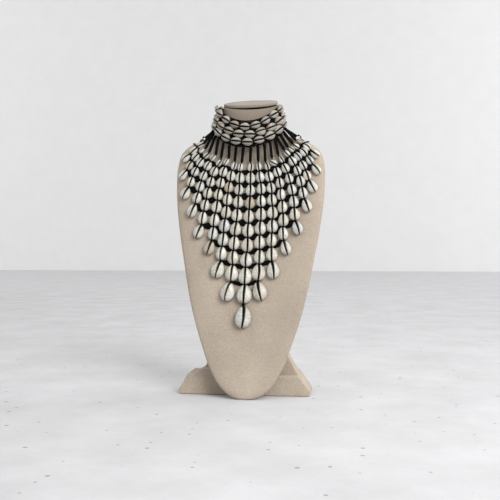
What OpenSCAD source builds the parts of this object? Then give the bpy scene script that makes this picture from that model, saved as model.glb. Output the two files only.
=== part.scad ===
// Three-row cowrie collar with a deep pointed bib of cowrie strings, on its leaning neck bust.
// Millimetres, +Z up, the front faces -Y. The origin lies on the floor under the middle of the whole.

/* [Bust] */
// Height of the bust from the floor to the top of the neck cap
bust_h = 394; // [374:1:414]
// Width of the board across the shoulders
bust_w = 199; // [189:1:209]
// Depth on the floor from the tip of the board to the back of the foot
stand_d = 91; // [84:1:100]
// Lean of the board away from upright, in degrees
lean = 10.5; // [9:0.5:12]
// Thickness of the board at its tip
board_t = 10; // [8:0.5:12]
// Depth of the neck from front to back
neck_d = 38; // [35:0.5:41]
// Thickness of the neck wall round its open top
neck_wall = 3.5; // [2.5:0.5:5]
// Depth of the hollow in the neck
hollow_d = 26; // [15:1:32]

/* [Neck cap] */
// Thickness of the padded cap
cap_t = 5; // [4:0.5:6.5]
// Forward tilt of the cap, in degrees
cap_tilt = 18; // [14:1:21]
// Height of the dark gap left under the front of the cap
cap_gap = 2.2; // [1:0.2:3.2]

/* [Foot] */
// Width of the front bar of the foot at the floor
foot_w = 174; // [160:1:180]
// Height of the front bar
bar_h = 26; // [20:1:32]
// Height of the rear block
block_h = 54; // [46:1:62]
// Width of the upright leg behind the board
leg_w = 46; // [30:1:60]
// Thickness of the upright leg
leg_t = 10; // [8:1:14]

/* [Collar] */
// Half width of the collar at its top edge
collar_w = 40; // [39.5:0.5:43]
// Depth of the front of the collar at its top edge, from the line of its sides
collar_d = 24.5; // [24:0.5:27]
// Outward flare of the collar from its top edge to its hem
collar_flare = 5.5; // [4:0.5:7]
// Height of the collar at the front, as a share of bust_h
collar_h_share = 0.0838; // [0.079:0.0004:0.091]
// Drop of the front of the collar below its sides, as a share of bust_h
collar_drop_share = 0.0609; // [0.051:0.0004:0.066]
// Thickness of the woven band
band_t = 1.6; // [1.2:0.1:2.2]
// Length of a collar shell
collar_shell = 13; // [12:0.1:13.4]
// Number of shells in each collar row
collar_count = 13; // [11:1:13]

/* [Bib] */
// Length of a plain bib shell, from which all the others are sized
shell_l = 17.3; // [16.3:0.1:17.6]
// Width of a shell as a share of its length
shell_wide = 0.74; // [0.66:0.01:0.76]
// Height of a shell as a share of its length
shell_high = 0.3; // [0.27:0.01:0.33]
// Diameter of the cord that threads the shells
cord_d = 1.2; // [1:0.1:1.4]
// Diameter of the wrapped stems between collar and bib
stem_d = 3.3; // [2.8:0.1:3.6]
// Thickness of the knotted bars that join the strings
bar_t = 1.5; // [1.2:0.1:1.7]
// Height of the knotted bars
bar_w = 4.2; // [3.4:0.1:4.8]

/* [Hidden] */
STRINGS = 10;

function string_name(k) = str("shell_string_", k < 0 ? "left_" : k > 0 ? "right_" : "middle_", abs(k));

// Board and chest: height as a share of bust_h, half width as a share of half bust_w,
// swell in front of and behind the side seam as shares of neck_d, squareness of the front
BOARD = [
    // height, half width, front swell, rear swell, squareness
    [0.0000, 0.075, 0.12, 0.07, 2.6],
    [0.0050, 0.166, 0.16, 0.08, 3.0],
    [0.0230, 0.272, 0.18, 0.08, 4.0],
    [0.0450, 0.351, 0.18, 0.08, 5.0],
    [0.0700, 0.415, 0.18, 0.08, 6.0],
    [0.1010, 0.480, 0.18, 0.08, 7.0],
    [0.1460, 0.550, 0.18, 0.08, 7.0],
    [0.2210, 0.653, 0.19, 0.08, 7.0],
    [0.2980, 0.741, 0.21, 0.08, 7.0],
    [0.3770, 0.809, 0.24, 0.08, 7.0],
    [0.4560, 0.868, 0.27, 0.08, 6.5],
    [0.5360, 0.926, 0.31, 0.08, 6.0],
    [0.6360, 0.980, 0.41, 0.08, 4.6],
    [0.7380, 1.000, 0.54, 0.08, 3.4],
    [0.7790, 0.983, 0.60, 0.09, 3.0],
    [0.7995, 0.962, 0.62, 0.11, 2.8],
    [0.8200, 0.917, 0.63, 0.15, 2.6],
    [0.8410, 0.805, 0.61, 0.23, 2.4],
    [0.8560, 0.630, 0.58, 0.33, 2.2],
    [0.8730, 0.455, 0.55, 0.42, 2.0],
    [0.8950, 0.385, 0.53, 0.46, 2.0],
    [0.9200, 0.370, 0.53, 0.47, 2.0],
    [0.9900, 0.367, 0.53, 0.47, 2.0]];
HALF_W = 1;
FRONT = 2;
REAR = 3;
SQUARE = 4;
half_w = bust_w / 2;
board_gain = board_t / 9.9;
back_foot_y = -stand_d / 2 + neck_d * 0.19 * board_gain;
neck_root = 0.873 * bust_h;
rim_mid_z = 0.974 * bust_h;
ring_steps = 36;
join_gap = 0.2;
// Squareness of the rear: flat on the board, round on the neck, changing between two heights
rear_flat = 4;
rear_round = 2;
rear_turn_z = 0.82 * bust_h;
rear_turn_h = 0.06 * bust_h;
// Farthest share of the half width at which the surface is read, and the step used for its slope
seam_share = 0.985;
slope_step = 0.4;

// Foot, seen from the front
FOOT_SIDES = [
    // height share of bar_h, half width share of half foot_w
    [0.00, 0.99],
    [0.25, 1.00],
    [1.00, 0.83]];
BLOCK_SIDES = [
    // height share of block_h, half width share of half foot_w
    [0.00, 0.93],
    [0.15, 0.91],
    [0.35, 0.82],
    [0.52, 0.74],
    [0.67, 0.665],
    [0.96, 0.60],
    [1.00, 0.57]];
foot_shift = -0.032 * foot_w;
foot_front_y = -0.17 * stand_d;
block_front_y = foot_front_y + 0.175 * stand_d;
foot_back_y = stand_d / 2;
bar_d = 0.5 * stand_d;
// Rounded back of the block, from the floor up
BLOCK_BACK = [
    // height share of block_h, distance in front of the rearmost line as a share of stand_d
    [0.00, 0.000],
    [0.62, 0.011],
    [0.78, 0.055],
    [0.92, 0.143],
    [1.00, 0.264]];

// Collar rows: place between top edge and hem, turn of the first shell in steps
COLLAR_ROWS = [
    // share of the collar's height, stagger in shells
    [0.17, 0.0],
    [0.475, 0.5],
    [0.78, 0.0]];
collar_h = collar_h_share * bust_h;
collar_drop = collar_drop_share * bust_h;
collar_x = -1.2;
collar_rear_d = 0.82 * neck_d;
collar_lean = collar_h * tan(lean);
collar_top_z = 0.968 * bust_h;
collar_y = seam_y(collar_top_z) - 0.185 * neck_d;
collar_level = 92;
collar_side_h = 0.85;
collar_steps = 56;
collar_wide = 0.73;
collar_high = 0.27;
// Where band, hem and top edge lie on the height of the collar, and how far in and out they reach
band_top = 0.02;
band_low = 0.935;
hem_top = 0.942;
hem_low = 1.03;
edge_top = -0.045;
edge_low = 0.012;
hem_in = -0.3;
hem_out = band_t + 1.2;
edge_in = -0.2;
edge_out = band_t + 0.6;
stitch_d = 0.8;
stitch_out = band_t + 2.2;
// Height over the band at which shells and stitches are spaced out
row_out = 3;
tie_d = 4;

// Bib: shell length of each row as a share of shell_l, first row at the collar
ROW_LENGTH = [0.67, 0.84, 0.85, 0.92, 0.97, 1.03, 1.04, 1.05, 1.22, 1.36, 1.82];
// How far each string, from the middle outwards, hangs off its even place, as shares of shell_l
LEFT_HANG = [
    // sideways, upwards
    [0.04, -0.01],
    [-0.02, -0.02],
    [0.01, 0.02],
    [0.09, 0.16],
    [-0.01, -0.06],
    [0.035, 0.065],
    [-0.13, -0.035],
    [-0.145, -0.025],
    [-0.05, 0.035]];
RIGHT_HANG = [
    // sideways, upwards
    [0.04, -0.01],
    [0.075, -0.01],
    [0.045, -0.135],
    [-0.005, -0.025],
    [0, -0.025],
    [-0.02, 0.16],
    [-0.11, 0.105],
    [-0.035, 0.01],
    [-0.05, -0.09]];
fan_x = 0.6635 * half_w;
fan_z = 0.8612 * bust_h;
fan_drop = 0.1027 * bust_h;
fan_step = 9.55;
fan_top = 8.3;
fan_low = 0.273;
fan_fade = 2.14;
outer_shrink = 0.025;
end_swing = 12;
end_gain = 1.12;
bib_tilt = 0.029;
bib_shift_top = 1.9;
bib_shift_low = -5.3;
bib_low_z = 0.264 * bust_h;
bib_drift_h = 0.401 * bust_h;
net_gap = 0.35;
slot_floor = 0.75;
slot_play = 0.2;
shell_gap = 0.35;
cord_rise = net_gap + bar_t + shell_gap + slot_floor + slot_play + cord_d / 2;
// Extra height over the bust: for each string outwards, for the one on the shoulder and the one behind it
curve_lift = 0.06;
ridge_lift = 1.9;
rear_lift = -0.1;
side_narrow = 0.016;
knot_l = 1.4;
// The last cord of a string stops inside its shell by a share of the shell's length
end_short = 0.04;
// Knot posts: widths at the head of a string and below it, and how far they reach past bar and cord
head_knot_w = 2;
knot_w = 2.6;
knot_play = 0.35;
knot_below = 0.1;
knot_above = 0.7 * cord_d;
// Bars over the shoulders: share of a plain bar's size, height over the ridge and overlap at the bends
bridge_share = 0.75;
bridge_rise = net_gap + 1.9 * bar_t;
bridge_bend = net_gap + bar_t;
bridge_lap = 0.4;
// Stems: turn round the collar from one to the next and extra turn in front, which fades out to the
// sides; thickness share of those that bend over the shoulder; seat under the hem, height at the bend
stem_step = 11.5;
stem_turn = 7;
stem_fade = 7;
bent_share = 0.88;
rear_stem_gain = 1.25;
stem_seat = hem_low + 0.03;
stem_out = (band_t + 1.2) / 2;
bent_out = stem_out + 0.8;
stem_head = stem_d / 2 + cord_d / 2 - 1.6;
stem_bend = stem_d / 2 + 3;
// How far each stem, from the middle outwards, stops short of the hem and of its knot, as shares of stem_d
STEM_ENDS = [
    // short of the hem, short of the knot
    [0.06, 0.35],
    [0.02, 0.34],
    [0.00, 0.35],
    [0.03, 0.38],
    [0.08, 0.38],
    [0.27, 0.42],
    [0.62, 0.44],
    [0.90, 0.58],
    [1.15, 0.72],
    [0.48, 0.47],
    [0.04, 0.36]];

// Value of one column of a table at a height, on a smooth curve through the rows
function row_below(t, z, i = 0) = i >= len(t) - 2 || z < t[i + 1][0] ? i : row_below(t, z, i + 1);
function row_slope(t, c, i) =
    let (a = max(i - 1, 0), b = min(i + 1, len(t) - 1))
    (t[b][c] - t[a][c]) / (t[b][0] - t[a][0]);
function smooth_at(t, c, z) =
    let (
        i = row_below(t, z),
        h = t[i + 1][0] - t[i][0],
        u = max(0, min(1, (z - t[i][0]) / h)),
        rise = t[i + 1][c] - t[i][c],
        m0 = row_slope(t, c, i) * h,
        m1 = row_slope(t, c, i + 1) * h)
    t[i][c] + m0 * u + (3 * rise - 2 * m0 - m1) * u * u + (m0 + m1 - 2 * rise) * u * u * u;

function unit(v) = v / norm(v);
function sign_pow(v, e) = sign(v) * pow(abs(v), e);

// The board's surface
function back_y(z) = back_foot_y + z * tan(lean);
function board_half(z) = half_w * smooth_at(BOARD, HALF_W, z / bust_h);
function board_front(z) = neck_d * smooth_at(BOARD, FRONT, z / bust_h) * gain_at(z);
function board_rear(z) = neck_d * smooth_at(BOARD, REAR, z / bust_h);
function gain_at(z) = board_gain + (1 - board_gain) * max(0, min(1, z / neck_root));
function seam_y(z) = back_y(z) - board_rear(z);
// The flat back turns round towards the neck
function rear_square(z) =
    rear_flat - (rear_flat - rear_round) * max(0, min(1, (z - rear_turn_z) / rear_turn_h));
function front_y(x, z) =
    let (n = smooth_at(BOARD, SQUARE, z / bust_h), u = min(seam_share, abs(x) / board_half(z)))
    seam_y(z) - board_front(z) * pow(1 - pow(u, n), 1 / n);
function front_normal(x, z) =
    let (e = slope_step)
    unit([
        (front_y(x + e, z) - front_y(x - e, z)) / (2 * e),
        -1,
        (front_y(x, z + e) - front_y(x, z - e)) / (2 * e)]);

function rear_y(x, z) =
    let (n = rear_square(z), u = min(seam_share, abs(x) / board_half(z)))
    seam_y(z) + board_rear(z) * pow(1 - pow(u, n), 1 / n);
function rear_normal(x, z) =
    let (e = slope_step)
    unit([
        (rear_y(x - e, z) - rear_y(x + e, z)) / (2 * e),
        1,
        (rear_y(x, z - e) - rear_y(x, z + e)) / (2 * e)]);

// One closed ring round the board at a height, inset by a wall; top 1 lays it on the rim, 0 leaves it level
function board_ring(z, wall = 0, top = 0) =
    let (
        w = board_half(z) - wall,
        f = board_front(z) - wall,
        r = board_rear(z) - wall,
        n = smooth_at(BOARD, SQUARE, z / bust_h))
    [for (i = [0:ring_steps - 1])
        let (
            a = i * 360 / ring_steps,
            e = sin(a) > 0 ? 2 / n : 2 / rear_square(z),
            x = w * sign_pow(cos(a), e),
            y = seam_y(z) - (sin(a) > 0 ? f : r) * sign_pow(sin(a), e))
        [x, y, z + top * (rim_z(y, max(0, sin(a))) - z)]];

// Height of the neck's rim: it follows the underside of the cap and dips under the cap's front
cap_pivot_y = back_y(rim_mid_z) - board_rear(rim_mid_z);
function rim_z(y, front) =
    rim_mid_z + (y - cap_pivot_y) * tan(cap_tilt) - join_gap - cap_gap * front * front;

// Solid skin over a list of rings with equal counts, closed by a flat face at each end
module ring_skin(rings) {
    n = len(rings[0]);
    m = len(rings);
    points = [for (r = rings) for (p = r) p];
    sides = [for (j = [0:m - 2]) for (i = [0:n - 1])
        let (a = j * n + i, b = j * n + (i + 1) % n, c = a + n, d = b + n)
        for (t = [[a, b, c], [b, d, c]]) t];
    first = [for (i = [1:n - 2]) [0, i + 1, i]];
    last = [for (i = [1:n - 2]) [(m - 1) * n, (m - 1) * n + i, (m - 1) * n + i + 1]];
    polyhedron(points = points, faces = concat(sides, first, last), convexity = 6);
}

// Board, chest and neck in one leaning form, with a hollow in the top of the neck
module bust_board() {
    // rows of the table up to the root of the neck, with one more between them where the chest swells
    low = [for (i = [0:len(BOARD) - 4]) for (u = i < 8 || i > 12 ? [0] : [0, 0.5])
        (BOARD[i][0] + u * (BOARD[i + 1][0] - BOARD[i][0])) * bust_h];
    outer = [for (z = low) board_ring(z)];
    neck = [for (v = [0.25, 0.6, 1]) board_ring(neck_root + (rim_mid_z - neck_root) * v, 0, v)];
    inner = board_ring(rim_mid_z, neck_wall, 1);
    floor_ring = [for (p = inner) [p[0], p[1], rim_mid_z - hollow_d]];
    color([0.72, 0.66, 0.58]) ring_skin(concat(outer, neck, [inner, floor_ring]));
}

// Padded cap: a flat-backed disc that leans forward over the neck
module neck_cap() {
    w = board_half(rim_mid_z);
    f = board_front(rim_mid_z);
    r = board_rear(rim_mid_z);
    overhang = 0.24 * cap_t;
    // inset of the edge and height, both as shares of cap_t, from the flat underside to the crowned top
    levels = [[0.32, 0], [0.06, 0.25], [0, 0.5], [0.08, 0.75], [0.4, 0.93], [1.6, 1]];
    rings = [for (v = levels) [for (i = [0:ring_steps - 1])
        let (
            a = i * 360 / ring_steps,
            e = sin(a) > 0 ? 1 : 2 / rear_square(rim_mid_z),
            inset = v[0] * cap_t,
            x = (w - inset) * sign_pow(cos(a), e),
            y = -((sin(a) > 0 ? f : r) + overhang - inset) * sign_pow(sin(a), e))
        [x, y, v[1] * cap_t]]];
    color([0.71, 0.67, 0.61])
        translate([0, cap_pivot_y, rim_mid_z])
            rotate([cap_tilt, 0, 0])
                ring_skin(rings);
}

// Whole outline from the table of one side of it
function foot_outline(sides, shift, high) = concat(
    [for (s = sides) [shift + s[1] * foot_w / 2, s[0] * high]],
    [for (i = [len(sides) - 1:-1:0]) [shift - sides[i][1] * foot_w / 2, sides[i][0] * high]]);

// A front outline carried straight back from one depth to another
module front_to_back(outline, y0, y1) {
    translate([0, y1, 0]) rotate([90, 0, 0]) linear_extrude(height = y1 - y0) polygon(outline);
}

// A side outline carried across a width
module side_to_side(width, outline) {
    rotate([90, 0, 90]) translate([0, 0, -width / 2]) linear_extrude(height = width) polygon(outline);
}

// Foot: a low front bar joined to a taller block with a rounded back
module stand_foot() {
    color([0.69, 0.63, 0.55]) union() {
        front_to_back(foot_outline(FOOT_SIDES, foot_shift, bar_h), foot_front_y, foot_front_y + bar_d);
        intersection() {
            front_to_back(foot_outline(BLOCK_SIDES, 0, block_h), block_front_y, foot_back_y);
            side_to_side(foot_w, concat(
                [for (s = BLOCK_BACK) [foot_back_y - s[1] * stand_d, s[0] * block_h]],
                [[block_front_y, block_h], [block_front_y, 0]]));
        }
    }
}

// Upright leg from the block to the back of the leaning board
module rear_leg() {
    y0 = block_front_y + 1;
    y1 = y0 + leg_t;
    z0 = block_h + join_gap;
    color([0.67, 0.61, 0.53]) side_to_side(leg_w, [
        [y0, z0],
        [y1, z0],
        [y1, (y1 - back_foot_y - join_gap) / tan(lean)],
        [y0, (y0 - back_foot_y - join_gap) / tan(lean)]]);
}

// The collar as a ring: a is the angle from the front, v the share of its height and out the distance
// out from the inside of the band
function collar_z(a, v) =
    collar_top_z - collar_drop * cos(min(abs(a), collar_level))
    - v * collar_h * (cos(a) * cos(a) + collar_side_h * sin(a) * sin(a));
function collar_depth(a, v) =
    cos(a) > 0 ? collar_d + collar_flare / 2 * v : collar_rear_d - collar_lean * v;
function collar_at(a, v, out = 0) = [
    collar_x + (collar_w + collar_flare * v + out) * sin(a),
    collar_y - (collar_depth(a, v) + out) * cos(a),
    collar_z(a, v)];
function collar_turn(i, n) = -180 + i * 360 / n;

// Closed band between two heights of the collar
module collar_ring(v0, v1, in, out) {
    n = collar_steps;
    rings = [for (i = [0:n - 1])
        let (a = collar_turn(i, n))
        [collar_at(a, v0, out), collar_at(a, v0, in), collar_at(a, v1, in), collar_at(a, v1, out)]];
    loop_skin(rings);
}

// Skin over rings that close on themselves
module loop_skin(rings) {
    n = len(rings[0]);
    m = len(rings);
    points = [for (r = rings) for (p = r) p];
    faces = [for (j = [0:m - 1]) for (i = [0:n - 1])
        let (k = (j + 1) % m, a = j * n + i, b = j * n + (i + 1) % n, c = k * n + i, d = k * n + (i + 1) % n)
        for (t = [[a, b, c], [b, d, c]]) t];
    polyhedron(points = points, faces = faces, convexity = 10);
}

// Angles of the shells in one collar row, spaced evenly along the front and sides of the ring
collar_table = [for (i = [0:180]) collar_run(i)];
function row_point(a) = collar_at(a, 0.5, row_out);
function collar_run(a) = a == 0 ? 0 : collar_run(a - 1) + norm(row_point(a) - row_point(a - 1));
function collar_angle(s) =
    let (i = [for (j = [0:179]) if (collar_table[j + 1] >= abs(s)) j][0],
         u = (abs(s) - collar_table[i]) / (collar_table[i + 1] - collar_table[i]))
    sign(s) * (i + u);
collar_pitch = collar_shell + knot_l;
function collar_places(row) =
    [for (i = [0:collar_count - 1]) (i - (collar_count - 1) / 2 + row[1]) * collar_pitch];

module collar_band() {
    color([0.07, 0.065, 0.065]) union() {
        collar_ring(band_top, band_low, 0, band_t);
        for (row = COLLAR_ROWS)
            for (s = collar_places(row))
                for (side = [-0.5, 0.5])
                    collar_stitch(s + side * collar_pitch, row[0]);
    }
}

// Small stitch that stands out from the band between two shells
module collar_stitch(s, v) {
    a = collar_angle(s);
    p = collar_at(a, v, band_t * 0.5);
    q = collar_at(a, v, stitch_out);
    hull() {
        translate(p) sphere(d = stitch_d, $fn = 4);
        translate(q) sphere(d = stitch_d, $fn = 4);
    }
}

module collar_hem() {
    color([0.06, 0.055, 0.055]) collar_ring(hem_top, hem_low, hem_in, hem_out);
}

module top_edge_cord() {
    color([0.06, 0.055, 0.055]) collar_ring(edge_top, edge_low, edge_in, edge_out);
}

// Plain toggle that closes the collar behind the neck
module back_tie() {
    p = collar_at(180, 0.5, band_t + join_gap + 0.55 * tie_d);
    color([0.08, 0.07, 0.07]) translate(p) rotate([-lean, 0, 0])
        cylinder(h = 0.55 * collar_h, d = tie_d, center = true, $fn = 24);
}

// A cowrie with its mouth outwards and its humped back ground flat:
// local x across, y to the narrow end, z out
module cowrie(l, wide = shell_wide, high = shell_high) {
    top = high * l;
    half = wide * l / 2;
    r = (half * half + top * top) / (2 * top);
    sink = r - top;
    steps = 12;
    taper = 0.16;
    full = l / sqrt(1 - pow(sink / r, 2));
    outline = [for (i = [0:steps])
        let (t = i * 180 / steps)
        [r * sin(t) * (1 - taper * cos(t)), full / 2 * cos(t)]];
    difference() {
        intersection() {
            translate([0, 0, -sink]) rotate([-90, 0, 0]) rotate_extrude($fn = 48) polygon(outline);
            translate([-l, -l, 0]) cube([2 * l, 2 * l, l]);
        }
        translate([-(cord_d / 2 + slot_play), -l, slot_floor]) cube([cord_d + 2 * slot_play, 2 * l, l]);
    }
}

// Turns local axes into a place: the narrow end against the run of the string, z along the normal
module seated(p, run, n) {
    up = unit(-run + (run * n) * n);
    side = cross(up, n);
    multmatrix([
        [side[0], up[0], n[0], p[0]],
        [side[1], up[1], n[1], p[1]],
        [side[2], up[2], n[2], p[2]],
        [0, 0, 0, 1]])
        children();
}

module collar_row(row) {
    v = row[0];
    for (s = collar_places(row)) {
        a = collar_angle(s);
        run = unit(collar_at(a + 2, v, row_out) - collar_at(a - 2, v, row_out));
        down = unit(collar_at(a, v + 0.1, row_out) - collar_at(a, v - 0.1, row_out));
        n = unit(cross(down, run));
        out = n * sign(n * [sin(a), -cos(a), 0]);
        // shells are smaller behind the neck, a little larger towards the hem and narrower at the sides
        l = collar_shell * (cos(a) < 0 ? 0.93 : 1 + 0.11 * (v - 0.5));
        wide = collar_wide * (1 - 0.29 * sin(a) * sin(a));
        color([0.87, 0.84, 0.77])
            seated(collar_at(a, v, band_t) + out * shell_gap, run, out) cowrie(l, wide, collar_high);
    }
}

module collar_row_top() { collar_row(COLLAR_ROWS[0]); }
module collar_row_middle() { collar_row(COLLAR_ROWS[1]); }
module collar_row_bottom() { collar_row(COLLAR_ROWS[2]); }

// Layout of the bib: string k counts from the middle, negative to the left; shell j counts down from 0.
// Knot j lies above shell j and the last knot closes the string.
function shells_in(k) = STRINGS + 1 - abs(k);
function shell_len(k, j) =
    shell_l * ROW_LENGTH[j] * (1 - outer_shrink * abs(k)) * (j == shells_in(k) - 1 && k != 0 ? end_gain : 1);
function fan_angle(k, j) =
    let (top = fan_top * abs(k), low = fan_low * k * k)
    low + (top - low) * exp(-j / fan_fade) + (k != 0 && j == shells_in(k) - 1 ? end_swing : 0);
function slope_share(x, z, dx, dz) =
    1 / sqrt(1 + pow((front_y(x + dx, z + dz) - front_y(x, z)) / norm([dx, dz]), 2));
function hang(k) = (k < 0 ? LEFT_HANG : RIGHT_HANG)[abs(k)] * shell_l;
// Even places of the knots of one string on the right side, as x and z
function even_knots(k, j, x, z) =
    j > shells_in(k) ? [] :
    let (
        i = min(j, shells_in(k) - 1),
        a = fan_angle(k, i),
        p = shell_len(k, i) + knot_l,
        f = slope_share(x, z, p * sin(a), -p * cos(a)))
    concat([[x, z]], even_knots(k, j + 1, x + p * f * sin(a), z - p * f * cos(a)));
function place_on(k, p) =
    let (
        x = (k < 0 ? -1 : 1) * p[0],
        up = max(0, min(1, (p[1] - bib_low_z) / bib_drift_h)),
        drift = bib_shift_low + (bib_shift_top - bib_shift_low) * up)
    [x + drift + hang(k)[0], p[1] + bib_tilt * x + hang(k)[1]];
function front_knots(k) =
    let (a = fan_step * abs(k), t = fan_angle(k, 0), h = (shell_len(k, 0) + knot_l) / 2)
    [for (p = even_knots(k, 0, fan_x * sin(a) - h * sin(t), fan_z - fan_drop * cos(a) + h * cos(t)))
        place_on(k, p)];

// The two outermost strings pass over the shoulder and hang behind the board
function ridge_z(x, lo = 0.82, hi = 0.873) =
    hi - lo < 0.0005 ? lo * bust_h :
    let (m = (lo + hi) / 2)
    board_half(m * bust_h) > x ? ridge_z(x, m, hi) : ridge_z(x, lo, m);
function on_ridge(k, share) =
    let (x = share * half_w, z = ridge_z(x))
    [[sign(k) * x, seam_y(z), z], unit([sign(k) * 0.4, 0, 0.9])];
function behind(k, x, z) =
    let (p = [sign(k) * x * half_w, z * bust_h])
    [[p[0], rear_y(p[0], p[1]), p[1]], rear_normal(p[0], p[1])];
function on_front(p) = [[p[0], front_y(p[0], p[1]), p[1]], front_normal(p[0], p[1])];

// Where each string touches the bust: the point of the surface under each knot, and the normal there
function string_course(k) =
    abs(k) < STRINGS - 1 ? [for (p = front_knots(k)) on_front(p)] :
    abs(k) == STRINGS - 1 ? [on_ridge(k, 0.62), behind(k, 0.71, 0.842), behind(k, 0.775, 0.798)] :
    [behind(k, 0.43, 0.815), behind(k, 0.47, 0.785)];
COURSES = [for (k = [-STRINGS:STRINGS]) string_course(k)];
function knots_in(k) = len(COURSES[k + STRINGS]);
function cord_normal(k, j) = COURSES[k + STRINGS][j][1];
function cord_point(k, j) = COURSES[k + STRINGS][j][0] + cord_normal(k, j) * (cord_rise + lift_at(k));
function lift_at(k) =
    abs(k) == STRINGS ? rear_lift : abs(k) == STRINGS - 1 ? ridge_lift : curve_lift * abs(k);

// Place of the flat back, run and normal of shell j of string k
function shell_frame(k, j) =
    let (
        p = cord_point(k, j),
        q = cord_point(k, j + 1),
        run = unit(q - p),
        m = unit(cord_normal(k, j) + cord_normal(k, j + 1)),
        n = unit(m - (m * run) * run),
        fill = norm(q - p) - knot_l)
    [(p + q) / 2 - n * (slot_floor + slot_play + cord_d / 2), run, n, min(fill, shell_len(k, j))];

module bib_shell(k, j, wide) {
    f = shell_frame(k, j);
    seated(f[0], f[1], f[2]) cowrie(f[3], wide);
}
function tint(k, j) =
    k == 0 && j == 3 ? [0.74, 0.66, 0.56] : [0.88, 0.86, 0.8] * (1 - 0.03 * ((j + abs(k)) % 3));
function wide_at(k, j) = shell_wide * (j == 0 ? 0.86 : 1) * (1 - side_narrow * abs(k));

module shell_string(k) {
    for (j = [0:knots_in(k) - 2])
        if (k != 0 || j < STRINGS) color(tint(k, j)) bib_shell(k, j, wide_at(k, j));
}

// The large shell that hangs alone under the middle string
module pendant_shell() {
    color([0.87, 0.84, 0.76]) bib_shell(0, STRINGS, 0.7);
}

// A straight strand between two points, four-sided, with its width across and its thickness along a normal
module strand(p, q, n, w, t) {
    run = unit(q - p);
    side = unit(cross(run, n));
    out = cross(side, run);
    section = [for (a = [45:90:315]) (side * w * sign(cos(a)) + out * t * sign(sin(a))) / 2];
    m = len(section);
    hull() polyhedron(
        points = concat([for (s = section) p + s], [for (s = section) q + s]),
        faces = concat(
            [[for (i = [m - 1:-1:0]) i], [for (i = [0:m - 1]) m + i]],
            [for (i = [0:m - 1]) [i, (i + 1) % m, m + (i + 1) % m, m + i]]));
}

// Cords, knots and knotted bars of the bib, which are one netting
module thread_net() {
    color([0.05, 0.05, 0.05]) union() {
        for (k = [-STRINGS:STRINGS]) {
            last = knots_in(k) - 1;
            for (j = [0:last - 1]) {
                net_knot(k, j);
                net_cord(k, j, j == last - 1 ? shell_len(k, j) * end_short + knot_l : 0);
            }
        }
        for (j = [1:STRINGS - 1])
            net_bar(j, j == 1 ? STRINGS - 2 : STRINGS - j);
        for (side = [-1, 1])
            net_bridge(side * (STRINGS - 2), side * (STRINGS - 1), 1);
    }
}

// Cord from knot j to the next, stopped short of it by a distance
module net_cord(k, j, short) {
    p = cord_point(k, j);
    q = cord_point(k, j + 1);
    run = unit(q - p);
    strand(p, q - run * short, cord_normal(k, j), cord_d, cord_d);
}

// Knot: a short post from the bars up to the cord
module net_knot(k, j) {
    p = cord_point(k, j);
    n = cord_normal(k, j);
    run = unit(cord_point(k, j + 1) - p);
    w = j == 0 ? head_knot_w : knot_w;
    strand(p - n * (cord_rise - net_gap - knot_below), p + n * knot_above, run, w, knot_l - knot_play);
}

// Middle of the knotted bars under knot j of string k
function bar_point(k, j) = cord_point(k, j) - cord_normal(k, j) * (cord_rise - net_gap - bar_t / 2);

// One knotted bar that runs from string to string through all the knots of one row
module net_bar(j, reach) {
    rings = [for (k = [-reach:reach])
        let (
            p = bar_point(k, j),
            t = unit(bar_point(min(k + 1, reach), j) - bar_point(max(k - 1, -reach), j)),
            out = unit(cord_normal(k, j) - (cord_normal(k, j) * t) * t),
            side = cross(t, out))
        [for (a = [45:90:315]) p + (side * bar_w * sign(cos(a)) + out * bar_t * sign(sin(a))) / 2]];
    ring_skin(rings);
}

// Bar over the shoulder, between the same knots of the last string in front and the one behind it
module net_bridge(k, next, j) {
    top = on_ridge(next, 0.775);
    p = bar_point(k, j);
    r = bar_point(next, j);
    bend = on_front([(p[0] + top[0][0]) / 2, (p[2] + top[0][2]) / 2]);
    points = [p, bend[0] + bend[1] * bridge_bend, top[0] + top[1] * bridge_rise, r];
    out = [bend[1], top[1], cord_normal(next, j)];
    for (i = [0:2]) {
        lap = unit(points[i + 1] - points[i]) * (i < 2 ? bridge_lap : 0);
        strand(points[i], points[i + 1] + lap, out[i], bar_w * bridge_share, bar_t * bridge_share);
    }
}

// Round rod between two points
module rod(p, q, d) {
    z = unit(q - p);
    x = unit(cross(z, abs(z[2]) > 0.9 ? [1, 0, 0] : [0, 0, 1]));
    y = cross(z, x);
    multmatrix([[x[0], y[0], z[0], p[0]], [x[1], y[1], z[1], p[1]], [x[2], y[2], z[2], p[2]], [0, 0, 0, 1]])
        cylinder(h = norm(q - p), d = d, $fn = 24);
}

// Angle round the collar at which a stem leaves it: even steps, turned a little in front
function stem_angle(k) =
    stem_step * k * (abs(k) == STRINGS ? rear_stem_gain : 1)
    + stem_turn * cos(min(90, 90 * abs(k) / stem_fade));

// Wrapped stems from the hem of the collar down to the head of each string; some bend over the shoulder
module stems() {
    color([0.05, 0.05, 0.05])
        for (k = [-STRINGS:STRINGS]) {
            bent = abs(k) > 4 && abs(k) < 9;
            turn = stem_angle(k);
            hem = collar_at(turn, stem_seat, bent ? bent_out : stem_out);
            head = cord_point(k, 0) + cord_normal(k, 0) * stem_head;
            m = on_front([(hem[0] + head[0]) / 2, (hem[2] + head[2]) / 2]);
            bend = m[0] + m[1] * stem_bend;
            first = hem + unit((bent ? bend : head) - hem) * stem_d * STEM_ENDS[abs(k)][0];
            last = head + unit((bent ? bend : hem) - head) * stem_d * STEM_ENDS[abs(k)][1];
            if (bent) bent_rod([first, bend, last], stem_d * bent_share);
            else rod(first, last, stem_d);
        }
}

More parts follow.
